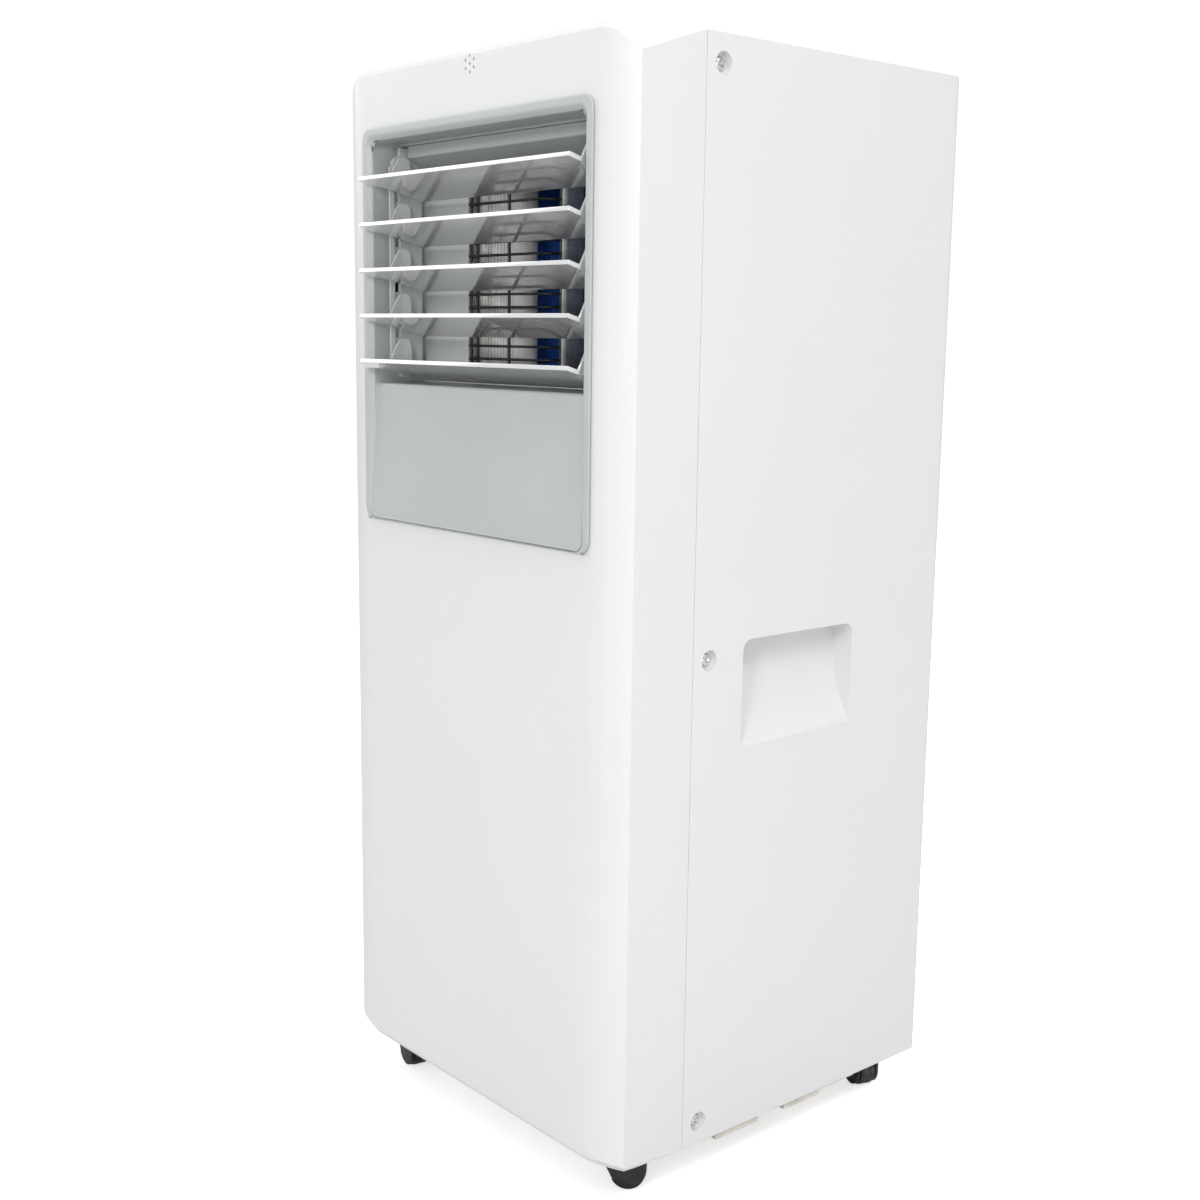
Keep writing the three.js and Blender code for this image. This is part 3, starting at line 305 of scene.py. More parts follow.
# Two figures behind the display's lens. A bar or post is (half its width, half its height).
figures = {
    "apart": 8.5 * mm, "rise": 8.0 * mm, "reach": 4.8 * mm, "bar": (3.8 * mm, 0.8 * mm),
    "post": (0.8 * mm, 3.1 * mm), "glow": rgb(0.1, 0.75, 0.8), "tint": rgb(0.12, 0.3, 0.32), "strength": 0.5,
}


def middleOf(low, high):
    return (low + high) / 2


# Smoked lens, smeared by fingers, with lit figures behind it.
def lens(name, node):
    tree = Finish(name)
    middle = middleOf(*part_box(node))
    x, y = tree.axis("X"), tree.axis("Y")
    rise, reach = figures["rise"], figures["reach"]
    strokes = [(0.0, level, figures["bar"]) for level in (rise, -rise, 0.0)]
    for side, level in ((-1, 1), (1, 1), (1, -1)):
        strokes.append((side * reach, level * rise / 2, figures["post"]))
    lit = None
    for offset in (-figures["apart"], figures["apart"]):
        for right, back, (wide, tall) in strokes:
            across = x - (middle.x + offset + right)
            along = y - (middle.y + back)
            mark = across.size().under(wide) * along.size().under(tall)
            lit = mark if lit is None else lit.greatest(mark)
    smear = tree.noise(30.0, 5.0)
    micro = tree.noise(1400.0, 2.0)
    base = tree.blend(smear.ramp(0.5, 0.8) * 0.3, rgb(0.006, 0.007, 0.008), rgb(0.03, 0.03, 0.035))
    base = tree.blend(lit * 0.5, base, figures["tint"])
    tree.put(tree.blend(lit, rgb(0.0, 0.0, 0.0), figures["glow"]), tree.shader.inputs["Emission Color"])
    normal = tree.bump(micro, 0.1, 0.02 * mm, tree.softEdges(0.5 * mm))
    return tree.done(base, 0.06 + smear * 0.12, normal, Emission_Strength=figures["strength"],
                     Coat_Weight=0.6, Coat_Roughness=0.04)


# A dark navy sheet with a fine cell grain: painted shade.
def shadeSheetFinish(name):
    tree = Finish(name)
    grain = tree.noise(700.0, 4.0)
    base = tree.blend(grain.ramp(0.3, 0.7), rgb(0.09, 0.095, 0.125), rgb(0.16, 0.17, 0.21))
    return tree.done(base, 0.75 + grain * 0.2, tree.bump(grain, 0.6, 0.2 * mm))


# Printed ink.
def printed(name):
    tree = Finish(name)
    grain = tree.noise(900.0)
    return tree.done(rgb(0.13, 0.14, 0.15), 0.42 + grain * 0.15, tree.bump(grain, 0.2, 0.02 * mm))


finishes = {
    "shell_white": moulded("satinWhite", (0.64, 0.645, 0.65), 0.36, mottle=0.006, shine=0.4),
    "panel_white": moulded("panelWhite", (0.66, 0.665, 0.67), 0.22, 2400.0, 0.01 * mm, coat=0.15),
    "display_black": lens("smokedLens", "display_lens"),
    "circuit_board": board("solderMask"),
    "outlet_grey": moulded("outletGrey", (0.415, 0.436, 0.43), 0.38, mottle=0.02),
    "link_grey": moulded("linkGrey", (0.5, 0.52, 0.525), 0.34, mottle=0.02),
    "louvre_white": moulded("glossWhite", (0.56, 0.57, 0.575), 0.06, 1800.0, 0.001 * mm, rub=0.02, coat=1.0,
                            coatRough=0.015, edge=0.2 * mm),
    "button_white": moulded("buttonWhite", (0.78, 0.785, 0.79), 0.3, 2600.0, 0.01 * mm),
    "guard_black": enamel("dippedWire", (0.006, 0.006, 0.008), 0.4),
    "blower_off_white": moulded("blowerWhite", (0.93, 0.92, 0.89), 0.4, mottle=0.05),
    "tray_off_white": moulded("trayWhite", (0.74, 0.72, 0.67), 0.5, dust=0.2, mottle=0.04),
    "motor_zinc": metal("zincPlate", (0.58, 0.6, 0.62), 0.28),
    "coil_blue": moulded("coatedFin", (0.03, 0.13, 0.55), 0.34, 900.0, 0.03 * mm, mottle=0.12, coat=0.2),
    "fan_black": moulded("fanBlack", (0.02, 0.02, 0.022), 0.4, mottle=0.1),
    "compressor_black": enamel("blackEnamel", (0.014, 0.014, 0.016), 0.3),
    "pipe_copper": metal("drawnCopper", (0.82, 0.42, 0.25), 0.22, (1.0, 1.0, 0.05), (0.2, 0.1, 0.05), 0.5),
    "base_beige": moulded("beigeBase", (0.69, 0.66, 0.6), 0.5, 2400.0, 0.03 * mm, dust=0.5, mottle=0.04),
    "filter_mesh": woven("nylonMesh", (0.22, 0.25, 0.28)),
    "rubber_black": rubbery("softRubber", (0.02, 0.02, 0.02), 0.62, 0.15),
    "caster_black": rubbery("blackNylon", (0.007, 0.007, 0.009), 0.34, 0.06),
    "wheel_black": rubbery("hardTread", (0.012, 0.012, 0.014), 0.38, 0.18),
    "screw_steel": metal("brightPlate", (0.72, 0.73, 0.74), 0.18, (1.0, 0.05, 1.0)),
}
# A paler copy of the outlet grey: painted light for the wall behind the louvres.
paintedLitGrey = moulded("paintedLitGrey", (0.62, 0.64, 0.635), 0.36, mottle=0.02)
# The dark sheet paints the shade on the divider's side.
paintedShadeSheet = shadeSheetFinish("paintedShadeSheet")
iconInk = printed("iconInk")

slotOf = {entry["node"]: entry["material_slot"] for entry in record["subparts"]}
bodyOf = {node: body for body, nodes in record["behaviour"]["bodies"].items() for node in nodes}
for node, cadObject in frame["nodes"].items():
    cadObject.data.materials.clear()
    cadObject.data.materials.append(finishes[slotOf[node]])


# A finished piece from a bmesh, in the node's body and slot. It replaces the node unless it's an addition.
def piece(name, bm, node, degrees, materials=(), addition=False):
    bmesh.ops.recalc_face_normals(bm, faces=bm.faces)
    mesh = bpy.data.meshes.new(name)
    bm.to_mesh(mesh)
    bm.free()
    for polygon in mesh.polygons:
        polygon.use_smooth = True
    mesh.set_sharp_from_angle(angle=math.radians(degrees))
    for material in materials or (finishes[slotOf[node]],):
        mesh.materials.append(material)
    thing = bpy.data.objects.new(name, mesh)
    bpy.context.scene.collection.objects.link(thing)
    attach(thing, bodyOf[node])
    if not addition:
        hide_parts(node)
    return thing


# The node's own mesh with its triangles merged into whole faces.
def nodeMesh(node):
    bm = bmesh.new()
    bm.from_mesh(frame["nodes"][node].data)
    bmesh.ops.remove_doubles(bm, verts=bm.verts, dist=0.004 * mm)
    bmesh.ops.dissolve_limit(bm, angle_limit=math.radians(0.6), verts=bm.verts, edges=bm.edges)
    return bm


# A round on every edge that turns by more than the angle.
def roundEdges(bm, width, segments, degrees):
    limit = math.radians(degrees)
    sharp = [edge for edge in bm.edges if len(edge.link_faces) == 2 and edge.calc_face_angle(0.0) > limit]
    bmesh.ops.bevel(
        bm, geom=sharp, offset=width, offset_type="OFFSET", segments=segments,
        profile=0.5, affect="EDGES", clamp_overlap=False, material=-1,
    )


# The node again with rounded edges and its flat faces kept flat.
def refined(node, width, segments=2, degrees=30.0, materials=()):
    bm = nodeMesh(node)
    roundEdges(bm, width, segments, degrees)
    thing = piece("fine_" + node, bm, node, 32.0, materials)
    even = thing.modifiers.new("even", "WEIGHTED_NORMAL")
    even.keep_sharp = True


print("cabinet and outlet")
# How far the edges of each node are rounded, in millimetres.
edgeWidths = {
    "air_outlet_frame": 0.8,
    "outlet_back_wall": 0.3,
    "louvre_link_bar": 0.2,
    "louvre_bracket_left": 0.3,
    "louvre_bracket_right": 0.3,
    "blower_frame": 0.4,
    "base_pan": 0.6,
    "drip_tray": 0.4,
    "top_panel": 0.35,
    "upper_intake_grille": 0.4,
    "lower_intake_grille": 0.4,
    "exhaust_fan_housing": 0.4,
    "exhaust_fan_wheel": 0.3,
    "exhaust_fan_motor": 0.4,
    "blower_motor": 0.4,
    "capacitor_box": 0.8,
    "compressor": 0.8,
    "accumulator": 0.5,
    "control_board": 0.15,
    "display_lens": 0.4,
    "cord_gland": 0.3,
    "upper_drain_plug": 0.4,
    "lower_drain_plug": 0.4,
}
# The wall behind the louvres gets a paler copy of the outlet grey: painted light, standing in for the light
# that reaches into the outlet.
paintedLightFinish = {"outlet_back_wall": (paintedLitGrey,)}
for node, width in edgeWidths.items():
    refined(node, width * mm, materials=paintedLightFinish.get(node, ()))

shell = {"edge": 0.16 * mm, "degrees": 34.0}
for node in ("front_shell", "rear_shell"):
    refined(node, shell["edge"], degrees=shell["degrees"])

louvre = {"count": 5, "edge": 0.3 * mm, "segments": 3}
for index in range(1, louvre["count"] + 1):
    refined(f"louvre_blade_{index}", louvre["edge"], louvre["segments"])


# One small form set into a larger one.
def addTo(bm, form, matrix=None):
    mesh = bpy.data.meshes.new("part")
    bmesh.ops.recalc_face_normals(form, faces=form.faces)
    form.to_mesh(mesh)
    if matrix is not None:
        mesh.transform(matrix)
    bm.from_mesh(mesh)
    bpy.data.meshes.remove(mesh)


# A profile of (radius, height) pairs turned about Z.
def turnedForm(profile, sides, closed=False):
    form = bmesh.new()
    corners = [form.verts.new((radius, 0.0, height)) for radius, height in profile]
    pairs = list(zip(corners, corners[1:])) + ([(corners[-1], corners[0])] if closed else [])
    lines = [form.edges.new(pair) for pair in pairs]
    bmesh.ops.spin(
        form, geom=corners + lines, cent=(0, 0, 0), axis=(0, 0, 1), angle=math.tau, steps=sides,
        use_merge=True, use_duplicate=False,
    )
    bmesh.ops.remove_doubles(form, verts=form.verts, dist=0.002 * mm)
    return form


# A box between two corners, its edges rounded when a width is given.
def boxForm(low, high, width=0.0, material=0):
    form = bmesh.new()
    low, high = Vector(low), Vector(high)
    place = Matrix.Translation(middleOf(low, high)) @ Matrix.Diagonal((*(high - low), 1.0))
    bmesh.ops.create_cube(form, size=1.0, matrix=place)
    if width:
        bmesh.ops.bevel(
            form, geom=form.edges[:], offset=width, offset_type="OFFSET", segments=2,
            profile=0.5, affect="EDGES", clamp_overlap=True, material=-1,
        )
    for face in form.faces:
        face.material_index = material
    return form


# A round wire along a list of points.
def wireForm(points, radius, rounds, material=0):
    curve = bpy.data.curves.new("route", "CURVE")
    curve.dimensions = "3D"
    curve.bevel_depth = radius
    curve.bevel_resolution = rounds
    curve.use_fill_caps = True
    line = curve.splines.new("POLY")
    line.points.add(len(points) - 1)
    for index, point in enumerate(points):
        line.points[index].co = (*point, 1.0)
    holder = bpy.data.objects.new("route", curve)
    mesh = bpy.data.meshes.new_from_object(holder)
    form = bmesh.new()
    form.from_mesh(mesh)
    bmesh.ops.remove_doubles(form, verts=form.verts, dist=0.002 * mm)
    for face in form.faces:
        face.material_index = material
    bpy.data.objects.remove(holder)
    bpy.data.curves.remove(curve)
    bpy.data.meshes.remove(mesh)
    return form


def arcPoints(centre, radius, start, end, steps):
    points = []
    for index in range(steps + 1):
        angle = math.radians(start + (end - start) * index / steps)
        points.append(Vector(centre) + Vector((radius * math.cos(angle), radius * math.sin(angle), 0.0)))
    return points


# The first form with the second taken out of it.
def carved(form, cutter):
    things = []
    for source in (form, cutter):
        bmesh.ops.recalc_face_normals(source, faces=source.faces)
        mesh = bpy.data.meshes.new("blank")
        source.to_mesh(mesh)
        source.free()
        thing = bpy.data.objects.new("blank", mesh)
        bpy.context.scene.collection.objects.link(thing)
        things.append(thing)
    cut = things[0].modifiers.new("cut", "BOOLEAN")
    cut.operation = "DIFFERENCE"
    cut.solver = "EXACT"
    cut.object = things[1]
    bpy.context.view_layer.update()
    mesh = bpy.data.meshes.new_from_object(things[0].evaluated_get(bpy.context.evaluated_depsgraph_get()))
    result = bmesh.new()
    result.from_mesh(mesh)
    bpy.data.meshes.remove(mesh)
    for thing in things:
        blank = thing.data
        bpy.data.objects.remove(thing)
        bpy.data.meshes.remove(blank)
    return result


# A matrix that stands a form drawn along Z on the given place, pointing along axis.
def standing(place, axis):
    turn = Vector((0.0, 0.0, 1.0)).rotation_difference(Vector(axis).normalized()).to_matrix().to_4x4()
    return Matrix.Translation(place) @ turn


print("finger guard")
guard = {
    "wire": 0.85 * mm, "upright": 1.0 * mm, "pitch": 8.0 * mm, "straight": 65.0 * mm, "bend": 12.0 * mm,
    "uprights": (0.0, 7.0 * mm, 40.0 * mm), "behind": 1.2 * mm, "rounds": 3,
}

# Bent wires one above another, tied by uprights.
low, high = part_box("finger_guard")
bm = bmesh.new()
startX, lineY = low.x + guard["wire"], low.y + guard["wire"]
corner = arcPoints((startX + guard["straight"], lineY + guard["bend"], 0.0), guard["bend"], -90.0, 0.0, 10)
route = [Vector((startX, lineY, 0.0))] + corner
rows = round((high.z - low.z - guard["wire"] * 2) / guard["pitch"])
for row in range(rows + 1):
    level = Vector((0.0, 0.0, low.z + guard["wire"] + row * guard["pitch"]))
    addTo(bm, wireForm([point + level for point in route], guard["wire"], guard["rounds"]))
feet = [(startX + along, lineY + guard["behind"]) for along in guard["uprights"]]
for x, y in feet + [(corner[-1].x, corner[-1].y)]:
    addTo(bm, wireForm([(x, y, low.z), (x, y, high.z)], guard["upright"], guard["rounds"]))
piece("finger_guard_wires", bm, "finger_guard", 50.0)

print("blower")
blower = {
    "vanes": 96, "inner": 28.4 * mm, "tip": 0.6 * mm, "sweep": 5.0, "curl": 1.7, "thick": 0.7 * mm,
    "disc": 1.8 * mm, "core": 29.1 * mm, "wall": 1.0 * mm, "hoops": (0.34, 0.67), "hoopInset": 1.5 * mm,
    "bore": 4.4 * mm, "boss": 9.0 * mm, "bossFoot": 13.0 * mm, "bossHeight": 7.0 * mm,
    "shaft": 4.0 * mm, "chamfer": 0.5 * mm, "stub": 8.0 * mm, "lid": 1.4 * mm,
}
low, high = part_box("blower_wheel")
centre = middleOf(low, high)
centre.z = 0.0
radius = (high.x - low.x) / 2
bottom, top = low.z, high.z - blower["stub"]

# One curved vane, copied round the wheel.
vane = bmesh.new()
bmesh.ops.create_grid(vane, x_segments=6, y_segments=1, size=0.5)
for vert in vane.verts:
    share = vert.co.x + 0.5
    out = blower["inner"] + (radius - blower["tip"] - blower["inner"]) * share
    angle = math.radians(blower["sweep"]) * share ** blower["curl"]
    height = bottom + (top - bottom) * (vert.co.y + 0.5)
    vert.co = Vector((out * math.cos(angle), out * math.sin(angle), height))
bmesh.ops.recalc_face_normals(vane, faces=vane.faces)
bmesh.ops.solidify(vane, geom=vane.faces[:], thickness=blower["thick"])
bm = bmesh.new()
for index in range(blower["vanes"]):
    spinTurn = Matrix.Rotation(math.tau * index / blower["vanes"], 4, "Z")
    addTo(bm, vane, Matrix.Translation(centre) @ spinTurn)
vane.free()

# The cup inside the vanes, the disc, hoops and lid that carry them, and the end of the shaft.
disc, core, wall, boss, shaft = (blower[key] for key in ("disc", "core", "wall", "boss", "shaft"))
inner = blower["inner"] - blower["hoopInset"]
cup = [
    (boss, bottom + disc), (core, bottom + disc), (core, top - disc), (core - wall, top - disc),
    (core - wall, bottom + disc + wall), (boss, bottom + disc + wall),
]
bottomDisc = [
    (blower["bore"], bottom + blower["bossHeight"]), (blower["bore"], bottom), (radius - 0.4 * mm, bottom),
    (radius, bottom + 0.4 * mm), (radius, bottom + disc), (blower["bossFoot"], bottom + disc),
    (boss, bottom + blower["bossHeight"]),
]
stub = [
    (0.0, top - 2.0 * mm), (shaft, top - 2.0 * mm), (shaft, high.z - blower["chamfer"]),
    (shaft - blower["chamfer"], high.z), (0.0, high.z),
]
spider = [(reach, top - disc + rise) for reach, rise in (
    (shaft, 0.0), (inner + wall, 0.0), (inner + wall, blower["lid"]), (shaft, blower["lid"]),
)]
place = Matrix.Translation(centre)
addTo(bm, turnedForm(cup, 96, True), place)
addTo(bm, turnedForm(bottomDisc, 72, True), place)
for level in [bottom + (top - bottom) * share for share in blower["hoops"]] + [top - disc]:
    hoop = [(inner, level), (radius, level), (radius, level + disc), (inner, level + disc)]
    addTo(bm, turnedForm(hoop, 72, True), place)
addTo(bm, turnedForm(stub, 24), place)
addTo(bm, turnedForm(spider, 72, True), place)
piece("blower_wheel_vanes", bm, "blower_wheel", 40.0)

print("coils")
coil = {
    "bendOut": 5.0 * mm, "plate": 1.6 * mm, "plateEdge": 0.3 * mm, "inset": 1.0 * mm, "fin": 0.14 * mm,
    "wobble": 0.12, "tube": 3.2 * mm, "bendTube": 0.97, "spread": 0.25, "tubeOut": 0.5 * mm, "bendSteps": 10,
}


# Plate fins on copper tubes, with end plates and return bends.
def finCoil(name, node, tubeRows, pitch):
    low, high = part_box(node)
    plate, inset, tube = coil["plate"], coil["inset"], coil["tube"]
    endX = high.x - coil["bendOut"]
    bm = bmesh.new()
    for index in range(int((endX - low.x - plate * 2) / pitch)):
        x = low.x + plate + pitch * (index + 0.5) + random.uniform(-coil["wobble"], coil["wobble"]) * mm
        addTo(bm, boxForm(
            (x - coil["fin"], low.y + inset, low.z + inset),
            (x + coil["fin"], high.y - inset, high.z - inset),
        ))
    deep = (high.y - low.y) * coil["spread"]
    middleY = middleOf(low, high).y
    bendReach = coil["bendOut"] - tube
    for row in range(tubeRows):
        z = low.z + (high.z - low.z) * (row + 0.5) / tubeRows
        for y in (middleY - deep, middleY + deep):
            ends = [(low.x - coil["tubeOut"], y, z), (endX + coil["tubeOut"], y, z)]
            addTo(bm, wireForm(ends, tube, 3, 1))
        bend = [Vector((endX, middleY - deep, z))]
        for step in range(coil["bendSteps"] + 1):
            angle = math.pi * step / coil["bendSteps"]
            bend.append(Vector((endX + bendReach * math.sin(angle), middleY - deep * math.cos(angle), z)))
        bend.append(Vector((endX, middleY + deep, z)))
        addTo(bm, wireForm(bend, tube * coil["bendTube"], 3, 1))
    for x in (low.x, endX - plate):
        addTo(bm, boxForm((x, low.y, low.z), (x + plate, high.y, high.z), coil["plateEdge"], 2))
    materials = [finishes[slot] for slot in (slotOf[node], "pipe_copper", "motor_zinc")]
    piece(name, bm, node, 35.0, materials)


finCoil("evaporator_fins", "evaporator", 6, 2.1 * mm)
finCoil("condenser_fins", "condenser", 5, 2.4 * mm)

print("duct foam")
shadowStrip = {"thick": 1.2 * mm, "gap": 0.05 * mm, "front": 11.0 * mm, "back": 24.0 * mm, "foot": 12.0 * mm,
        "head": 26.0 * mm, "edge": 0.4 * mm}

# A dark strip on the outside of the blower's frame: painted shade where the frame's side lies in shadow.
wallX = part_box("blower_frame")[1].x
low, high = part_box("outlet_back_wall")
bm = bmesh.new()
addTo(bm, boxForm(
    (wallX + shadowStrip["gap"], high.y + shadowStrip["front"], low.z + shadowStrip["foot"]),
    (wallX + shadowStrip["thick"], high.y + shadowStrip["back"], high.z - shadowStrip["head"]), shadowStrip["edge"],
))
piece("divider_painted_shade", bm, "blower_frame", 32.0, (paintedShadeSheet,), addition=True)

print("casters")
joints = {joint["name"]: joint for joint in record["behaviour"]["joints"]}

# Millimetres from the swivel's axis and above the floor. The cheeks are round about the axle.
hood = {
    "stem": 11.0, "disc": 10.7, "arc": (205.0, 360.0), "arcSteps": 28, "shoulder": (1.5, 4.0),
    "nose": -8.0, "rim": 22.4, "toe": (0.4, 5.6), "notch": (1.2, 7.6), "cheek": 2.3, "gap": 0.4, "edge": 0.5,
    "throat": [(-0.8, 9.4), (-3.4, 20.6), (0.0, 24.2)], "inset": 2.0, "roof": 0.3, "lap": 0.2,
    "post": 3.6, "postFoot": 23.8, "postEdge": 0.6,
}
roller = {"radius": 11.5 * mm, "half": 5.5 * mm, "hub": 7.0 * mm, "axle": 1.8 * mm, "reach": 2.6 * mm}


# A plate with the outline of (x, z) points in millimetres, between two places along y.
def plateForm(outline, y0, y1):
    form = bmesh.new()
    corners = [form.verts.new((x * mm, y0 * mm, z * mm)) for x, z in outline]
    face = form.faces.new(corners)
    grown = bmesh.ops.extrude_face_region(form, geom=[face])["geom"]
    moved = [item for item in grown if isinstance(item, bmesh.types.BMVert)]
    bmesh.ops.translate(form, verts=moved, vec=(0.0, (y1 - y0) * mm, 0.0))
    bmesh.ops.recalc_face_normals(form, faces=form.faces)
    return form


# Two cheeks beside the wheel, the web that joins them over it, and the post that turns in the base.
def casterHood(spot):
    node = f"caster_housing_{spot}"
    stem = Vector(joints[f"caster_{spot}_swivel"]["pos_m"])
    axle = Vector(joints[f"caster_{spot}_roll"]["pos_m"])
    trail = (axle - stem).to_2d().length / mm
    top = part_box(node)[1].z / mm
    crown = top - hood["stem"]
    back = trail + hood["disc"]
    start, end = hood["arc"]
    disc = arcPoints((trail, axle.z / mm, 0.0), hood["disc"], start, end, hood["arcSteps"])
    inset, drop = hood["shoulder"]
    outline = [(hood["nose"], crown), (hood["nose"], hood["rim"]), hood["toe"], hood["notch"]]
    outline += [(point.x, point.y) for point in disc]
    outline += [(back, crown - drop), (back - inset, crown)]
    inner = roller["half"] / mm + hood["gap"]
    outer = inner + hood["cheek"]
    turn = Matrix.Rotation(math.atan2(axle.y - stem.y, axle.x - stem.x), 4, "Z")
    place = Matrix.Translation((stem.x, stem.y, 0.0)) @ turn
    bm = bmesh.new()
    for y0, y1 in ((-outer, -inner), (inner, outer)):
        cheek = plateForm(outline, y0, y1)
        roundEdges(cheek, hood["edge"] * mm, 3, 40.0)
        addTo(bm, cheek, place)
    ceiling, rear = crown - hood["roof"], back - hood["inset"]
    web = [(hood["nose"], ceiling), (hood["nose"], hood["rim"])] + hood["throat"]
    web += [(rear, hood["throat"][-1][1]), (rear, ceiling)]
    addTo(bm, plateForm(web, -inner - hood["lap"], inner + hood["lap"]), place)
    foot, post, edge = hood["postFoot"], hood["post"], hood["postEdge"]
    profile = [(0.0, foot), (post, foot), (post, top - edge), (post - edge, top), (0.0, top)]
    addTo(bm, turnedForm(profile, 24), place @ Matrix.Scale(mm, 4))
    piece(f"caster_hood_{spot}", bm, node, 40.0)


# A wheel with a groove round its tread, a sunk hub and the ends of its axle.
def casterTread(spot):
    node = f"caster_wheel_{spot}"
    r, w, hub, axle, reach = (roller[key] for key in ("radius", "half", "hub", "axle", "reach"))
    profile = [
        (0.0, -w - reach), (axle, -w - reach + 0.2 * mm), (axle + 0.2 * mm, -w + 1.0 * mm),
        (hub - 1.0 * mm, -w + 1.2 * mm), (hub, -w), (r - 1.4 * mm, -w), (r - 0.4 * mm, -w + 0.5 * mm),
        (r, -w + 1.6 * mm), (r, -1.0 * mm), (r - 0.5 * mm, -0.5 * mm),
    ]
    profile += [(radius, -height) for radius, height in reversed(profile)]
    place = standing(middleOf(*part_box(node)), joints[f"caster_{spot}_roll"]["axis"])
    bm = bmesh.new()
    addTo(bm, turnedForm(profile, 56), place)
    piece(f"caster_tread_{spot}", bm, node, 36.0)


for spot in ("front_right", "front_left", "back_right", "back_left"):
    casterHood(spot)
    casterTread(spot)

print("screws")
# Millimetres: half the cross slot's width and length, its floor, and how each screw is turned.
screw = {"height": 1.8, "slot": 0.42, "reach": 2.3, "floor": 0.3, "above": 3.0, "tilt": 17.0, "step": 31.0}
head = [
    (0.0, screw["height"]), (1.6, 1.74), (2.8, 1.42), (3.5, 0.92), (3.85, 0.4), (3.9, 0.0), (1.8, 0.0),
    (1.8, -9.4), (1.0, -10.2), (0.0, -10.2),
]
for side, out in (("right", 1.0), ("left", -1.0)):
    for index in (1, 2, 3):
        node = f"side_screw_{side}_{index}"
        low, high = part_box(node)
        place = middleOf(low, high)
        place.x = (high.x if side == "right" else low.x) - out * screw["height"] * mm
        form = turnedForm(head, 40)
        for reachX, reachY in ((screw["slot"], screw["reach"]), (screw["reach"], screw["slot"])):
            slot = boxForm((-reachX, -reachY, screw["floor"]), (reachX, reachY, screw["above"]))
            form = carved(form, slot)
        tilt = Matrix.Rotation(math.radians(screw["tilt"] + screw["step"] * index), 4, "Z")
        bm = bmesh.new()
        addTo(bm, form, standing(place, (out, 0.0, 0.0)) @ tilt @ Matrix.Scale(mm, 4))
        piece(f"cross_screw_{side}_{index}", bm, node, 34.0)

print("exhaust collar")
# Millimetres: radii, then depths from the cabinet's back or, for the groove, from the collar's rim.
collar = {
    "bore": 65.0, "outer": 72.0, "edge": 0.8, "groove": (3.2, 3.8, 5.4, 6.0), "flange": (8.4, 11.2),
    "bars": (-40.0, 0.0, 40.0), "barRing": 65.6, "bar": 1.0, "barDepths": (1.0, 1.2), "barDeep": 3.0,
    "barEdge": 0.5,
}
low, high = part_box("exhaust_collar")
centre = middleOf(low, high)
faceY = low.y
depth = (high.y - faceY) / mm
bore, outer, edge = collar["bore"], collar["outer"], collar["edge"]
rim = (high.x - low.x) / 2 / mm
near, far = collar["flange"]
first, second, third, fourth = (depth - step for step in collar["groove"])
profile = [
    (bore, 0.0), (bore, depth - edge), (bore + edge, depth), (outer - edge, depth), (outer, depth - edge),
    (outer, first), (outer - edge, second), (outer - edge, third), (outer, fourth),
    (outer, far + 1.0), (outer + 0.9, far + 0.2), (rim - 0.9, far), (rim, far - 0.8), (rim, near),
    (outer, near), (outer, 0.0),
]
bm = bmesh.new()
addTo(bm, turnedForm([(r * mm, z * mm) for r, z in profile], 96, True),
      standing((centre.x, faceY, centre.z), (0.0, 1.0, 0.0)))

# Lying and upright bars across the bore.
half, deep, barEdge = collar["bar"] * mm, collar["barDeep"] * mm, collar["barEdge"] * mm
lyingY, uprightY = (faceY + step * mm for step in collar["barDepths"])
for offset in collar["bars"]:
    reach = math.sqrt(collar["barRing"] ** 2 - offset ** 2) * mm
    level, x = centre.z + offset * mm, offset * mm
    addTo(bm, boxForm((-reach, lyingY, level - half), (reach, lyingY + deep, level + half), barEdge))
    addTo(bm, boxForm(
        (x - half, uprightY, centre.z - reach), (x + half, uprightY + deep, centre.z + reach), barEdge,
    ))
piece("exhaust_collar_ring", bm, "exhaust_collar", 34.0)

print("controls")
# Millimetres.
cap = {"radius": 7.0, "dish": 0.45, "skirt": 1.2, "line": 0.24, "lineDepth": 0.5}


# Lines of a button's sign, in millimetres about its middle.
def arcLine(radius, start=0.0, end=360.0, steps=24, centre=(0.0, 0.0)):
    return arcPoints((centre[0] * mm, centre[1] * mm, 0.0), radius * mm, start, end, steps)


def straightLine(*points):
    return [(x * mm, y * mm, 0.0) for x, y in points]


def fanLine(turn):
    degrees = math.degrees(turn)
    return arcLine(1.4, degrees - 60.0, degrees + 120.0, 12, (1.5 * math.cos(turn), 1.5 * math.sin(turn)))


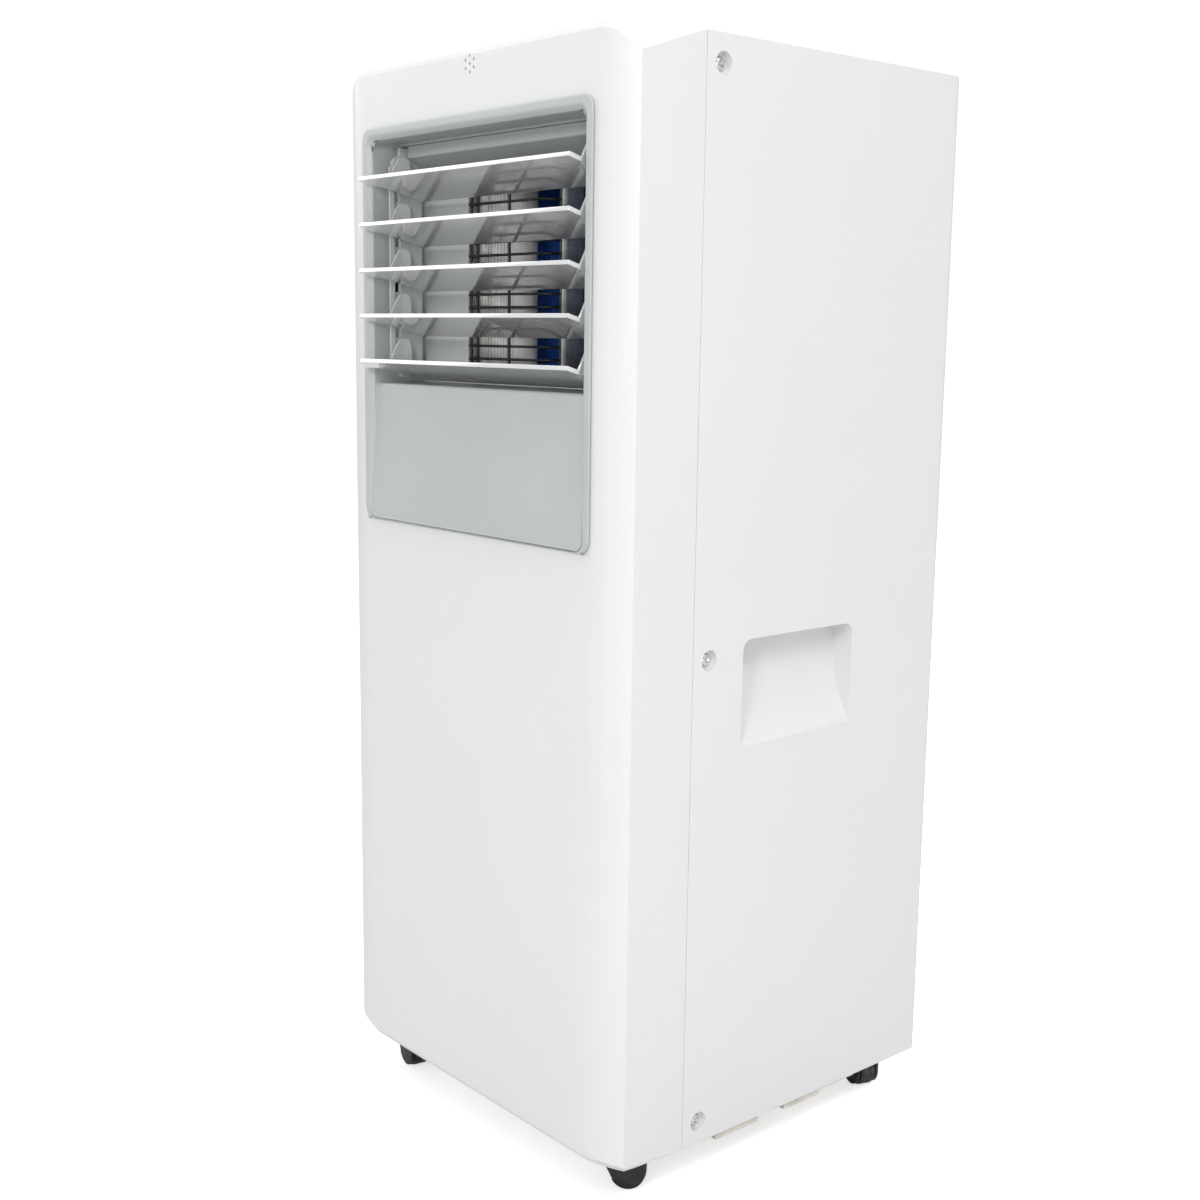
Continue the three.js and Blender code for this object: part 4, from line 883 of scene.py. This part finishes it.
signs = {
    "power": [arcLine(2.4, 120.0, 420.0), straightLine((0.0, 0.4), (0.0, 3.0))],
    "mode": [arcLine(2.6), arcLine(0.9)],
    "fan_speed": [fanLine(turn) for turn in (0.5, 2.6, 4.7)],
    "temperature_down": [straightLine((-2.2, 1.0), (0.0, -1.4), (2.2, 1.0))],
    "temperature_up": [straightLine((-2.2, -1.0), (0.0, 1.4), (2.2, -1.0))],
    "timer": [arcLine(2.7), straightLine((0.0, 1.7), (0.0, 0.0), (1.3, 0.0))],
    "sleep": [arcLine(2.6, 60.0, 300.0), arcLine(2.28, 98.0, 262.0, 20, (1.5, 0.0))],
}
for sign, lines in signs.items():
    node = f"{sign}_button"
    low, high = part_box(node)
    centre = middleOf(low, high)
    radius, flange = cap["radius"], (high.x - low.x) / 2 / mm
    foot, top = low.z / mm, high.z / mm
    skirt = foot + cap["skirt"]
    profile = [
        (0.0, top - cap["dish"]), (4.6, top - 0.4), (5.7, top - 0.14), (6.2, top), (6.6, top - 0.06),
        (radius, top - 0.5), (radius, skirt), (flange, skirt), (flange, foot), (0.0, foot),
    ]
    bm = bmesh.new()
    flat = Matrix.Translation((centre.x, centre.y, 0.0))
    addTo(bm, turnedForm([(r * mm, z * mm) for r, z in profile], 56), flat)
    level = Matrix.Translation((centre.x, centre.y, high.z - cap["lineDepth"] * mm))
    for line in lines:
        addTo(bm, wireForm(line, cap["line"] * mm, 1, 1), level)
    piece(f"{sign}_cap", bm, node, 34.0, (finishes[slotOf[node]], iconInk))

print("stage")
low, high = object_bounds()
middle = middleOf(low, high)
light = {"sky": 0.72, "backdrop": 1.06, "floor": 0.62, "floorSize": 9.0, "floorGrey": 0.62}

# Degrees round from the front and up from the floor, distance and width in metres, power in watts.
lamps = {
    "key_light": {"azimuth": 76.0, "elevation": 50.0, "away": 2.8, "size": 0.6, "power": 25.0},
    "fill_light": {"azimuth": 50.7, "elevation": 3.7, "away": 2.0, "size": 0.3, "power": 7.0},
    "front_light": {"azimuth": 30.0, "elevation": 21.0, "away": 2.8, "size": 0.4, "power": 20.0},
    "top_light": {"azimuth": 40.0, "elevation": 86.0, "away": 2.8, "size": 1.2, "power": 17.0},
    "back_light": {"azimuth": 205.0, "elevation": 30.0, "away": 2.8, "size": 1.4, "power": 26.0},
    "left_light": {"azimuth": 290.0, "elevation": 25.0, "away": 2.8, "size": 1.4, "power": 18.0},
}

floorMesh = bpy.data.meshes.new("floor")
floorForm = bmesh.new()
bmesh.ops.create_grid(floorForm, x_segments=1, y_segments=1, size=light["floorSize"])
floorForm.to_mesh(floorMesh)
floorForm.free()
floor = bpy.data.objects.new("floor", floorMesh)
bpy.context.scene.collection.objects.link(floor)

# The floor glows for the camera only, so that it reads white and still lies dim under the cabinet.
floorTree = Finish("paleFloor")
seen = floorTree.add("ShaderNodeLightPath", {}, {}, "Is Camera Ray")
glow = floorTree.blend(seen, rgb(0.0, 0.0, 0.0), rgb(1.0, 1.0, 1.0))
floorTree.put(glow, floorTree.shader.inputs["Emission Color"])
floorMesh.materials.append(floorTree.done(
    rgb(*[light["floorGrey"]] * 3), 0.7 + floorTree.noise(40.0) * 0.1, Emission_Strength=light["floor"],
))

# The world is white behind the object and dimmer where it lights it.
world = bpy.data.worlds.new("studio")
bpy.context.scene.world = world
worldTree = Tree(world)
worldTree.nodes["Background"].inputs["Color"].default_value = rgb(1.0, 1.0, 1.0)
worldTree.nodes["Background"].inputs["Strength"].default_value = light["sky"]
sky = Signal(worldTree, worldTree.nodes["Background"].outputs[0])
backdrop = worldTree.add(
    "ShaderNodeBackground", {}, {"Color": rgb(1.0, 1.0, 1.0), "Strength": light["backdrop"]},
)
direct = worldTree.add("ShaderNodeLightPath", {}, {}, "Is Camera Ray")
either = worldTree.add("ShaderNodeMixShader", {}, {0: direct, 1: sky, 2: backdrop})
worldTree.put(either, worldTree.nodes["World Output"].inputs["Surface"])


# A square lamp on a ball round the middle of the object, aimed at it.
def softLight(name, azimuth, elevation, away, size, power):
    lamp = bpy.data.lights.new(name, "AREA")
    lamp.shape = "SQUARE"
    lamp.size = size
    lamp.energy = power
    thing = bpy.data.objects.new(name, lamp)
    bpy.context.scene.collection.objects.link(thing)
    a, e = math.radians(azimuth), math.radians(elevation)
    direction = Vector((math.sin(a) * math.cos(e), -math.cos(a) * math.cos(e), math.sin(e)))
    turned = direction.to_track_quat("Z", "Y").to_matrix().to_4x4()
    thing.matrix_world = Matrix.Translation(middle + direction * away) @ turned


for name, lamp in lamps.items():
    softLight(name, **lamp)

# Degrees, the camera's place in metres and its lens in millimetres.
view = {"turn": 49.25, "drop": 9.52, "roll": 0.76, "place": (0.78035, -0.70643, 0.51178), "lens": 47.43}
turn, drop, roll = (math.radians(view[key]) for key in ("turn", "drop", "roll"))
away = Vector((math.sin(turn) * math.cos(drop), -math.cos(turn) * math.cos(drop), math.sin(drop)))
across = (-away).cross(Vector((0.0, 0.0, 1.0))).normalized()
upright = across.cross(-away)
sideways = across * math.cos(roll) + upright * math.sin(roll)
upwards = upright * math.cos(roll) - across * math.sin(roll)
cameraData = bpy.data.cameras.new("camera")
cameraData.sensor_width = 36.0
cameraData.lens = view["lens"]
cameraData.clip_start = 0.01
cameraData.clip_end = 60.0
camera = bpy.data.objects.new("camera", cameraData)
bpy.context.scene.collection.objects.link(camera)
camera.matrix_world = Matrix.Translation(view["place"]) @ Matrix((
    (sideways.x, upwards.x, away.x, 0.0),
    (sideways.y, upwards.y, away.y, 0.0),
    (sideways.z, upwards.z, away.z, 0.0),
    (0.0, 0.0, 0.0, 1.0),
))
bpy.context.scene.camera = camera
bpy.context.scene.view_settings.view_transform = "Standard"

print("done")
